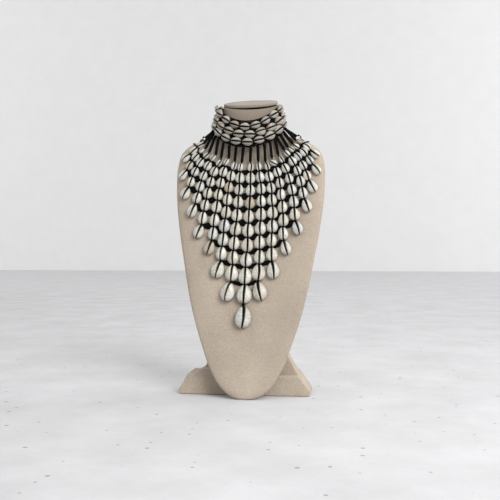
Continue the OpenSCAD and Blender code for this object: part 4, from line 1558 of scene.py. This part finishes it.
    def build_tie(self) -> bpy.types.Object:
        """The plain toggle behind the neck, a wound rod.

        Returns:
            The piece.
        """
        p = self.at(180.0, 0.5, self.band + self.bust.join_gap + 2.2)
        lean = math.radians(self.bust.lean)
        axis = np.array([0, math.sin(lean), math.cos(lean)])
        half = 0.275 * self.height
        line = p + np.linspace(-half, half, 20)[:, None] * axis
        rod = Rope(4.0, 4.0, 1.3, 0.08, 1, 18).patch(line, np.tile([0.0, 1.0, 0.0], (20, 1)), taper=1.2)
        return build_mesh("back_toggle", [rod])

    def dress(self, cowries: Cowries, shell: bpy.types.Material, band: bpy.types.Material,
              cord: bpy.types.Material, rng: np.random.Generator) -> None:
        """Builds every piece of the collar and hangs it on the frame.

        Args:
            cowries: the shell maker.
            shell: finish of the shells.
            band: finish of the band.
            cord: finish of hem, edge and toggle.
            rng: seeded source of small differences.
        """
        mount_piece(self.build_band(), ["collar_band"], band)
        mount_piece(self.build_hem(), ["collar_hem"], cord)
        mount_piece(self.build_edge(), ["top_edge_cord"], cord)
        mount_piece(self.build_tie(), ["back_tie"], cord)
        for name, v, stagger in self.rows:
            mount_piece(self.build_row(cowries, name, v, stagger, rng), [f"collar_row_{name}"], shell)


# ---------------------------------------------------------------- the bib


@dataclass
class Bib:
    """The pointed bib: strings of cowries in knotted netting under wound stems.

    String k counts from the middle, negative to the left; shell j counts down from 0, and knot j lies above it.

    Attributes:
        bust: the bust it lies on.
        collar: the collar it hangs from.
    """

    bust: Bust
    collar: Collar
    strings: int = 10
    plain: float = 17.3
    cord: float = 1.2
    stem: float = 3.3
    stem_turn: float = 7.0
    stem_fade: float = 7.0
    bent_share: float = 0.88
    bar_thick: float = 1.5
    bar_high: float = 4.2
    net_gap: float = 0.35
    slot_floor: float = 0.75
    slot_play: float = 0.2
    row_length: tuple[float, ...] = (0.67, 0.84, 0.85, 0.92, 0.97, 1.03, 1.04, 1.05, 1.22, 1.36, 1.82)
    left_hang: tuple[tuple[float, float], ...] = (
        (0.04, -0.01), (-0.02, -0.02), (0.01, 0.02), (0.09, 0.16), (-0.01, -0.06), (0.035, 0.065), (-0.13, -0.035),
        (-0.145, -0.025), (-0.05, 0.035))
    right_hang: tuple[tuple[float, float], ...] = (
        (0.04, -0.01), (0.075, -0.01), (0.045, -0.135), (-0.005, -0.025), (0, -0.025), (-0.02, 0.16), (-0.11, 0.105),
        (-0.035, 0.01), (-0.05, -0.09))
    stem_ends: tuple[tuple[float, float], ...] = (
        (0.06, 0.35), (0.02, 0.34), (0.00, 0.35), (0.03, 0.38), (0.08, 0.38), (0.27, 0.42), (0.62, 0.44), (0.90, 0.58),
        (1.15, 0.72), (0.48, 0.47), (0.04, 0.36))
    courses: dict[int, list[tuple[np.ndarray, np.ndarray]]] = field(default_factory=dict)

    def __post_init__(self) -> None:
        """Works out where every string touches the bust."""
        self.cord_rise = self.net_gap + self.bar_thick + 0.35 + self.slot_floor + self.slot_play + self.cord / 2
        for k in range(-self.strings, self.strings + 1):
            self.courses[k] = self.course(k)

    def shells_in(self, k: int) -> int:
        """Shells on a whole string.

        Args:
            k: the string.

        Returns:
            Their number.
        """
        return self.strings + 1 - abs(k)

    def shell_len(self, k: int, j: int) -> float:
        """Length of a shell: longer down the string and at its end, shorter to the sides.

        Args:
            k: the string.
            j: the shell.

        Returns:
            Millimetres.
        """
        end = 1.12 if j == self.shells_in(k) - 1 and k != 0 else 1.0
        return self.plain * self.row_length[j] * (1 - 0.025 * abs(k)) * end

    def fan_angle(self, k: int, j: int) -> float:
        """Angle of a string away from straight down: it eases from a wide fan at the top to a narrow one.

        Args:
            k: the string.
            j: the shell.

        Returns:
            Radians.
        """
        top, low = 8.3 * abs(k), 0.273 * k * k
        swing = 12 if k != 0 and j == self.shells_in(k) - 1 else 0
        return math.radians(low + (top - low) * math.exp(-j / 2.14) + swing)

    def front_knots(self, k: int) -> list[tuple[float, float]]:
        """Places of a front string's knots as x and z.

        Args:
            k: the string.

        Returns:
            One place for each knot.
        """
        b = self.bust
        a, t, h = math.radians(9.55 * abs(k)), self.fan_angle(k, 0), (self.shell_len(k, 0) + 1.4) / 2
        x = 0.6635 * b.half_w * math.sin(a) - h * math.sin(t)
        z = 0.8612 * b.height - 0.1027 * b.height * math.cos(a) + h * math.cos(t)
        hang = (self.left_hang if k < 0 else self.right_hang)[abs(k)]
        out = []
        for j in range(self.shells_in(k) + 1):
            px = (-1 if k < 0 else 1) * x
            drift = -5.3 + 7.2 * min(1.0, max(0.0, (z - 0.264 * b.height) / (0.401 * b.height)))
            out.append((px + drift + hang[0] * self.plain, z + 0.029 * px + hang[1] * self.plain))
            i = min(j, self.shells_in(k) - 1)
            angle, p = self.fan_angle(k, i), self.shell_len(k, i) + 1.4
            dx, dz = p * math.sin(angle), -p * math.cos(angle)
            fall_y = float(b.front_y(x + dx, z + dz)) - float(b.front_y(x, z))
            f = 1 / math.sqrt(1 + (fall_y / math.hypot(dx, dz)) ** 2)
            x, z = x + dx * f, z + dz * f
        return out

    def course(self, k: int) -> list[tuple[np.ndarray, np.ndarray]]:
        """Points of the bust under a string's knots, and the outward directions there.

        Args:
            k: the string.

        Returns:
            One pair for each knot.
        """
        b, side = self.bust, (1 if k > 0 else -1)
        if abs(k) < 9:
            return [tuple(b.on_front(x, z)) for x, z in self.front_knots(k)]
        behind = lambda x, z: b.on_rear(side * x * b.half_w, z * b.height)
        if abs(k) == 9:
            return [b.on_ridge(side, 0.62), behind(0.71, 0.842), behind(0.775, 0.798)]
        return [behind(0.43, 0.815), behind(0.47, 0.785)]

    def lift(self, k: int) -> float:
        """Extra height of a string over the bust.

        Args:
            k: the string.

        Returns:
            Millimetres.
        """
        return 1.9 if abs(k) == 9 else -0.1 if abs(k) == self.strings else 0.06 * abs(k)

    def knot_point(self, k: int, j: int) -> np.ndarray:
        """Middle of the threading cord at a knot.

        Args:
            k: the string.
            j: the knot.

        Returns:
            The point.
        """
        p, n = self.courses[k][j]
        return p + n * (self.cord_rise + self.lift(k))

    def bar_point(self, k: int, j: int) -> np.ndarray:
        """Middle of the knotted bar under a knot.

        Args:
            k: the string.
            j: the knot.

        Returns:
            The point.
        """
        return self.knot_point(k, j) - self.courses[k][j][1] * (self.cord_rise - self.net_gap - self.bar_thick / 2)

    def shell_frame(self, k: int, j: int) -> tuple[np.ndarray, np.ndarray, np.ndarray, float]:
        """Seat of a shell between its two knots.

        Args:
            k: the string.
            j: the shell.

        Returns:
            Middle of its flat back, run of the string, outward direction and length.
        """
        p, q = self.knot_point(k, j), self.knot_point(k, j + 1)
        run = unit(q - p)
        m = unit(self.courses[k][j][1] + self.courses[k][j + 1][1])
        n = unit(m - (m @ run) * run)
        back = (p + q) / 2 - n * (self.slot_floor + self.slot_play + self.cord / 2)
        return back, run, n, min(float(np.linalg.norm(q - p)) - 1.4, self.shell_len(k, j))

    def build_string(
        self, cowries: Cowries, k: int, rows: Sequence[int], name: str, rng: np.random.Generator
    ) -> bpy.types.Object:
        """The shells of one string.

        Args:
            cowries: the shell maker.
            k: the string.
            rows: which of its shells.
            name: the piece's name.
            rng: seeded source of small differences.

        Returns:
            The piece.
        """
        patches = []
        for j in rows:
            place, run, n, length = self.shell_frame(k, j)
            roll, wide = rng.normal(0, 6), 0.80 * rng.uniform(0.96, 1.04)
            tone = float(np.clip(rng.normal(0.46, 0.17), 0.04, 0.84))
            length *= 1.05
            last = j == len(self.courses[k]) - 2
            if j == 0:
                roll, wide = 26 * (1 if (k + j) % 2 else -1) * rng.uniform(0.5, 1.0), wide * 0.84
            elif last:
                wide = 0.71 if k == 0 else wide * 0.94
                length *= 0.875 if k == 0 else 0.93 + 0.018 * min(5, abs(k))
                place = place + run * (0.8 if k == 0 else 0.2)
            if (k, j) in ((0, 3), (0, self.strings)):
                tone = (Mood.TAN if j == 3 else Mood.PALE).value
            run = unit(run + rng.normal(0, 0.035) * np.cross(n, run))
            if (k, j) == (3, 0):
                run, roll, place = unit(run + 0.9 * np.cross(n, run)), 20.0, place + n * 2.0
            patches.append(cowries.seated(place, run, n, length, wide * (1 - 0.006 * abs(k)), tone, roll, 3.7 * k + j,
                                          0.55 if last else 0.3, 0.54))
        return build_mesh(name, patches)

    def surface_line(self, a: np.ndarray, b: np.ndarray, steps: int, sag: float) -> tuple[np.ndarray, np.ndarray]:
        """A line between two points that keeps its height over the front of the bust.

        Args:
            a: first point.
            b: second point.
            steps: samples, the last left out.
            sag: how far its middle hangs down.

        Returns:
            Points and outward directions.
        """
        t = np.linspace(0, 1, steps, endpoint=False)[:, None]
        line = a + (b - a) * t
        line[:, 2] -= (sag * np.sin(math.pi * t))[:, 0]
        foot, n = self.bust.on_front(line[:, 0], line[:, 2])
        ends = []
        for tip in (a, b):
            skin_at, facing = self.bust.on_front(tip[0], tip[2])
            ends.append(float(((tip - skin_at) * facing).sum()))
        high = ends[0] + (ends[1] - ends[0]) * t
        return foot + n * high, n

    def plait(self, line: np.ndarray, out: np.ndarray, width: np.ndarray, strands: int = 3) -> list[Patch]:
        """Plaits strands along a line.

        Strand i swings across by half the free width times sin(p + 2 pi i / n) and in and out by 0.4 times
        sin(2 (p + 2 pi i / n)), with p growing by a full turn every 7 mm.

        Args:
            line: points along the middle.
            out: outward directions there.
            width: width of the plait at each point.
            strands: how many.

        Returns:
            The strands.
        """
        both = resample(np.concatenate([line, out, width[:, None]], axis=1), 0.9)
        line, out, width = both[:, :3], unit(both[:, 3:6]), both[:, 6]
        side = unit(np.cross(np.gradient(line, axis=0), out))
        s = np.concatenate([[0], np.cumsum(np.linalg.norm(np.diff(line, axis=0), axis=1))])
        thick = width * 0.50
        patches = []
        for i in range(strands):
            p = 2 * math.pi * (s / 7.0 + i / strands)
            swing = side * ((width - thick) / 2 * np.sin(p))[:, None] + out * (0.45 * np.sin(2 * p))[:, None]
            patches.append(Rope(1.0, 0.6, 2.5, 0.16, 1, 6).patch(line + swing, out, taper=0.6, girth=thick))
        return patches

    def net_bar(self, j: int) -> list[Patch]:
        """The knotted bar that joins all strings at one row of knots.

        Args:
            j: the row.

        Returns:
            A plait of three wound strands.
        """
        reach = self.strings - 2 if j == 1 else self.strings - j
        points, normals = [], []
        for k in range(-reach, reach):
            p, n = self.surface_line(self.bar_point(k, j), self.bar_point(k + 1, j), 10, 0.5)
            points.append(p)
            normals.append(n)
        points.append(self.bar_point(reach, j)[None])
        normals.append(self.courses[reach][j][1][None])
        swell = np.abs(np.sin(math.pi * np.arange(20 * reach + 1) / 10)) ** 0.8
        gain = np.interp(j, [1, 2, 6, 8, 9], [0.9, 1.45, 1.40, 0.80, 0.55])
        return self.plait(np.concatenate(points), np.concatenate(normals), self.bar_high * (0.84 + gain * swell))

    def shoulder_bar(self, side: int) -> list[Patch]:
        """The bar that goes over the shoulder to the string behind it.

        Args:
            side: -1 left, 1 right.

        Returns:
            A plait of three wound strands.
        """
        k, next_ = side * (self.strings - 2), side * (self.strings - 1)
        top, up = self.bust.on_ridge(side, 0.775)
        p, r = self.bar_point(k, 1), self.bar_point(next_, 1)
        bend, out = self.bust.on_front((p[0] + top[0]) / 2, (p[2] + top[2]) / 2)
        crest = top + up * (self.net_gap + 0.9 * self.bar_thick)
        line = np.stack([p, bend + out * (self.net_gap + self.bar_thick), crest, r])
        normals = np.stack([self.courses[k][1][1], out, up, self.courses[next_][1][1]])
        both = curve_through(np.concatenate([line, normals], 1), 12)
        return self.plait(both[:, :3], both[:, 3:], self.bar_high * np.linspace(0.62, 0.34, len(both)))

    def build_bars(self) -> bpy.types.Object:
        """All the plaited bars.

        Returns:
            The piece.
        """
        patches = [p for j in range(1, self.strings) for p in self.net_bar(j)]
        return build_mesh("plaited_bars", patches + self.shoulder_bar(-1) + self.shoulder_bar(1))

    def build_cords(self) -> bpy.types.Object:
        """Threading cords and knots.

        A cord runs from knot to knot and rises over the middle of each shell by a share of its length times
        sin(pi t) to the 0.7, so that it shows in the shell's mouth. In the last shell it goes in and ends.

        Returns:
            The piece.
        """
        patches = []
        t = np.linspace(0, 1, 14)[:, None]
        for k, course in self.courses.items():
            last = len(course) - 1
            for j in range(last):
                p, q = self.knot_point(k, j), self.knot_point(k, j + 1)
                _, run, n, length = self.shell_frame(k, j)
                end = j == last - 1
                if end:
                    q = q - run * (1.4 + 0.07 * length)
                thick = (1.0 + 0.042 * length) * (1.25 if end else 1.0)
                arch = 0.18 * length * np.sin(math.pi * t) ** 0.7
                twist = Rope(thick, thick * 0.8, 2.6, 0.2, 1, 6)
                sway = sum(Cowries.bends(3.7 * k + j, 0.55 if end else 0.3)) * length * (1 - (2 * t - 1) ** 2)
                path = p + (q - p) * t + n * arch + np.cross(-run, n) * sway
                girth = 0.72 + 0.95 * np.abs(2 * t[:, 0] - 1) ** 3
                loose = length * 0.9 if end else 0.0
                patches.append(twist.patch(path, np.tile(n, (len(t), 1)), tail=loose, girth=girth))
                axes = np.stack([np.cross(self.courses[k][j][1], run), run, self.courses[k][j][1]])
                size = (3.8, 2.2, 3.0) if j else (2.8, 2.0, 2.6)
                patches.append(lump(p - self.courses[k][j][1] * 0.5, axes, size, 5, 0.14))
                if j:
                    base = p - self.courses[k][j][1] * (self.cord_rise - self.net_gap - 1.3)
                    patches.append(lump(base, axes, (4.8, 4.0, 2.4), 6, 0.12))
                if (k, j) == (0, self.strings):
                    patches.append(lump(p + run * 1.2, axes, (4.6, 4.4, 3.4), 5, 0.14, power=0.8))
        return build_mesh("threading_cords", patches)

    def over_shoulder(self, line: np.ndarray, half: float) -> np.ndarray:
        """Brings a straight line forward where it would dip into the bust, and eases the bend.

        Args:
            line: points along it.
            half: half its thickness.

        Returns:
            The points, with y at most the front's y less half / |n_y|, averaged four times with its neighbours.
        """
        line = line.copy()
        foot, out = self.bust.on_front(line[:, 0], line[:, 2])
        free = foot[:, 1] - (half + 0.3) / np.clip(-out[:, 1], 0.4, 1.0)
        inside = np.abs(line[:, 0]) < self.bust.half(line[:, 2]) - 0.5
        line[:, 1] = np.where(inside, np.minimum(line[:, 1], free), line[:, 1])
        for _ in range(4):
            line[1:-1, 1] = (line[:-2, 1] + 2 * line[1:-1, 1] + line[2:, 1]) / 4
        return line

    def build_stems(self) -> bpy.types.Object:
        """Wound stems from the hem to the head of each string.

        Those at the sides run straight and are brought forward over the shoulder.

        Returns:
            The piece.
        """
        patches = []
        thick = self.stem * 1.22
        wound = Rope(thick, thick, 1.6, 0.10, 1, 12)
        for k in self.courses:
            bent = 4 < abs(k) < 9
            turn = 11.5 * k * (1.25 if abs(k) == self.strings else 1)
            turn += self.stem_turn * math.cos(math.pi / 2 * min(1.0, abs(k) / self.stem_fade))
            if 4 < abs(k) < 10:
                turn = math.copysign((55, 65, 76, 88, 98)[abs(k) - 5], k)
            hem = self.collar.at(turn, self.collar.hem_low + 0.03, (self.collar.band + 1.2) / 2 + (0.8 if bent else 0))
            n = self.courses[k][0][1]
            head = self.knot_point(k, 0) + n * (self.stem / 2 + self.cord / 2 - (5.0 if abs(k) == 9 else 1.6))
            upper, lower = (self.stem * share for share in self.stem_ends[abs(k)])
            first = hem + unit(head - hem) * ((0.0 if bent else upper) - 1.0)
            last = head + unit(hem - head) * (lower * (0.6 if bent else 1.0) - 0.5)
            mix = np.linspace(0, 1, 18)[:, None]
            line = first + (last - first) * mix
            line = self.over_shoulder(line, thick / 2) if bent else line
            radial = np.array([math.sin(math.radians(turn)), -math.cos(math.radians(turn)), 0.3])
            patches.append(wound.patch(line, unit(unit(radial) * (1 - mix) + n * mix), taper=0.5))
        return build_mesh("wound_stems", patches)

    def dress(
        self, cowries: Cowries, shell: bpy.types.Material, cord: bpy.types.Material, rng: np.random.Generator
    ) -> None:
        """Builds every piece of the bib and hangs it on the frame.

        Args:
            cowries: the shell maker.
            shell: finish of the shells.
            cord: finish of the netting and stems.
            rng: seeded source of small differences.
        """
        mount_piece(self.build_bars(), ["thread_net"], cord)
        mount_piece(self.build_cords(), ["thread_net"], cord)
        mount_piece(self.build_stems(), ["stems"], cord)
        for k, course in self.courses.items():
            side = "middle" if k == 0 else "left" if k < 0 else "right"
            rows = range(self.strings) if k == 0 else range(len(course) - 1)
            piece = self.build_string(cowries, k, rows, f"cowries_{side}_{abs(k)}", rng)
            mount_piece(piece, [f"shell_string_{side}_{abs(k)}"], shell)
        pendant = self.build_string(cowries, 0, [self.strings], "pendant_cowrie", rng)
        mount_piece(pendant, ["pendant_shell"], shell)


# ---------------------------------------------------------------- studio


@dataclass
class Studio:
    """Floor, wall, light and camera.

    Attributes:
        turn: degrees by which the camera stands to the right.
        distance: from the bust's axis, in metres.
        eye: its height.
        focal: focal length in pixels of a picture 500 wide.
        axis_y: depth of the axis it turns about.
    """

    turn: float = 7.5
    distance: float = 1.05
    eye: float = 0.190
    focal: float = 788.0
    axis_y: float = 0.0055
    wall_y: float = 6050.0

    def floor(self) -> bpy.types.Object:
        """A flat floor.

        Returns:
            The stage piece.
        """
        x, y = np.linspace(-9000, 9000, 37), np.linspace(-4000, self.wall_y, 40)
        pts = np.stack(np.broadcast_arrays(x[None], y[:, None], np.full((1, 1), -0.05)), -1)
        return build_mesh("studio_floor", [Patch(pts, flip=True)])

    def wall(self) -> bpy.types.Object:
        """A flat wall at the floor's far edge.

        Returns:
            The stage piece.
        """
        x, z = np.linspace(-9000, 9000, 37), np.linspace(-0.05, 6000, 20)
        pts = np.stack(np.broadcast_arrays(x[None], np.full((1, 1), self.wall_y), z[:, None]), -1)
        return build_mesh("studio_wall", [Patch(pts, flip=True)])

    def light(self, name: str, place: Sequence[float], target: Sequence[float], size: float, power: float,
              colour: Sequence[float] = (1, 1, 1)) -> None:
        """Adds a square soft light.

        Args:
            name: its name.
            place: where it stands.
            target: what it points at.
            size: its side in metres.
            power: watts.
            colour: its colour.
        """
        data = bpy.data.lights.new(name, "AREA")
        data.shape, data.size, data.energy, data.color = "SQUARE", size, power, tuple(colour)
        obj = bpy.data.objects.new(name, data)
        obj.location = place
        obj.rotation_euler = (Vector(target) - Vector(place)).to_track_quat("-Z", "Y").to_euler()
        bpy.context.scene.collection.objects.link(obj)

    def build(self, floor_finish: bpy.types.Material, wall_finish: bpy.types.Material) -> None:
        """Sets up floor, wall, light and camera.

        Args:
            floor_finish: finish of the floor.
            wall_finish: finish of the wall.
        """
        for sheet, finish in ((self.floor(), floor_finish), (self.wall(), wall_finish)):
            sheet.data.materials.append(finish)
            sheet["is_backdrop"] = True
        scene = bpy.context.scene
        scene.view_settings.view_transform = "Standard"
        world = bpy.data.worlds.new("soft_room")
        scene.world = world
        world.use_nodes = True
        world.node_tree.nodes["Background"].inputs["Color"].default_value = (1.0, 1.0, 1.0, 1.0)
        world.node_tree.nodes["Background"].inputs["Strength"].default_value = 0.715
        aim = (0.0, 0.0, 0.2)
        self.light("overhead", (0.1, 0.1, 2.1), aim, 1.5, 9)
        self.light("front_right", (1.0, -1.3, 1.15), aim, 0.9, 31)
        self.light("wall_right", (6.0, 3.0, 2.4), (0.0, 4.5, 0.8), 3.0, 185)
        self.light("wall_left", (-6.0, 3.0, 2.4), (0.0, 4.5, 0.8), 3.0, 55)
        camera = bpy.data.cameras.new("photo_camera")
        camera.sensor_width = 36.0
        camera.lens = self.focal / 500.0 * 36.0
        camera.clip_end = 60.0
        obj = bpy.data.objects.new("photo_camera", camera)
        a = math.radians(self.turn)
        obj.location = (self.distance * math.sin(a), self.axis_y - self.distance * math.cos(a), self.eye)
        obj.rotation_euler = (math.pi / 2, 0.0, a)
        scene.collection.objects.link(obj)
        scene.camera = obj


def note_size(sizes: dict[str, list[list[float]]], when: str) -> None:
    """Keeps the object's box.

    Args:
        sizes: what has been measured so far.
        when: the moment's name.
    """
    low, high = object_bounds()
    sizes[when] = [[float(v) for v in low], [float(v) for v in high]]


def main() -> None:
    """Builds the necklace on its bust, the studio and the camera."""
    logging.basicConfig(level=logging.INFO, format="%(name)s: %(message)s")
    sizes: dict[str, list[list[float]]] = {}
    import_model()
    note_size(sizes, "frame")
    rng = np.random.default_rng(21)
    linen = Linen("beige_linen", (0.615, 0.520, 0.418), (0.215, 0.178, 0.142)).material()
    cap_linen = Linen("beige_linen_cap", (0.405, 0.36, 0.305), (0.20, 0.175, 0.146), 1500.0).material()
    black = Cord("black_cord", (0.0025, 0.0022, 0.0022)).material()
    woven = Cord("black_woven_band", (0.003, 0.0027, 0.0027), 2400.0).material()
    enamel = Shell("cowrie_enamel", (0.81, 0.84, 0.845)).material()
    # A darker copy of the enamel for the collar's shells: painted shade, as those shells face sideways and down, away
    # from the overhead light.
    wear_and_painted_shade = Shell("cowrie_enamel_painted_shade", (0.47, 0.46, 0.445)).material()
    bust = Bust()
    bust.dress(linen, cap_linen)
    cowries = Cowries()
    collar = Collar(bust)
    collar.dress(cowries, wear_and_painted_shade, woven, black, rng)
    Bib(bust, collar).dress(cowries, enamel, black, rng)
    # The floor's near and slope paint light on it: darker near the camera, paler far off and to the right.
    floor = Plain("pale_concrete", (0.60, 0.60, 0.61), 0.05, 0.05, dots=True, near=0.13, slope=0.10).material()
    wall = Plain("white_wall", (0.86, 0.86, 0.86), 0.01, 0.0).material()
    Studio().build(floor, wall)
    note_size(sizes, "finished")


if __name__ == "__main__":
    main()
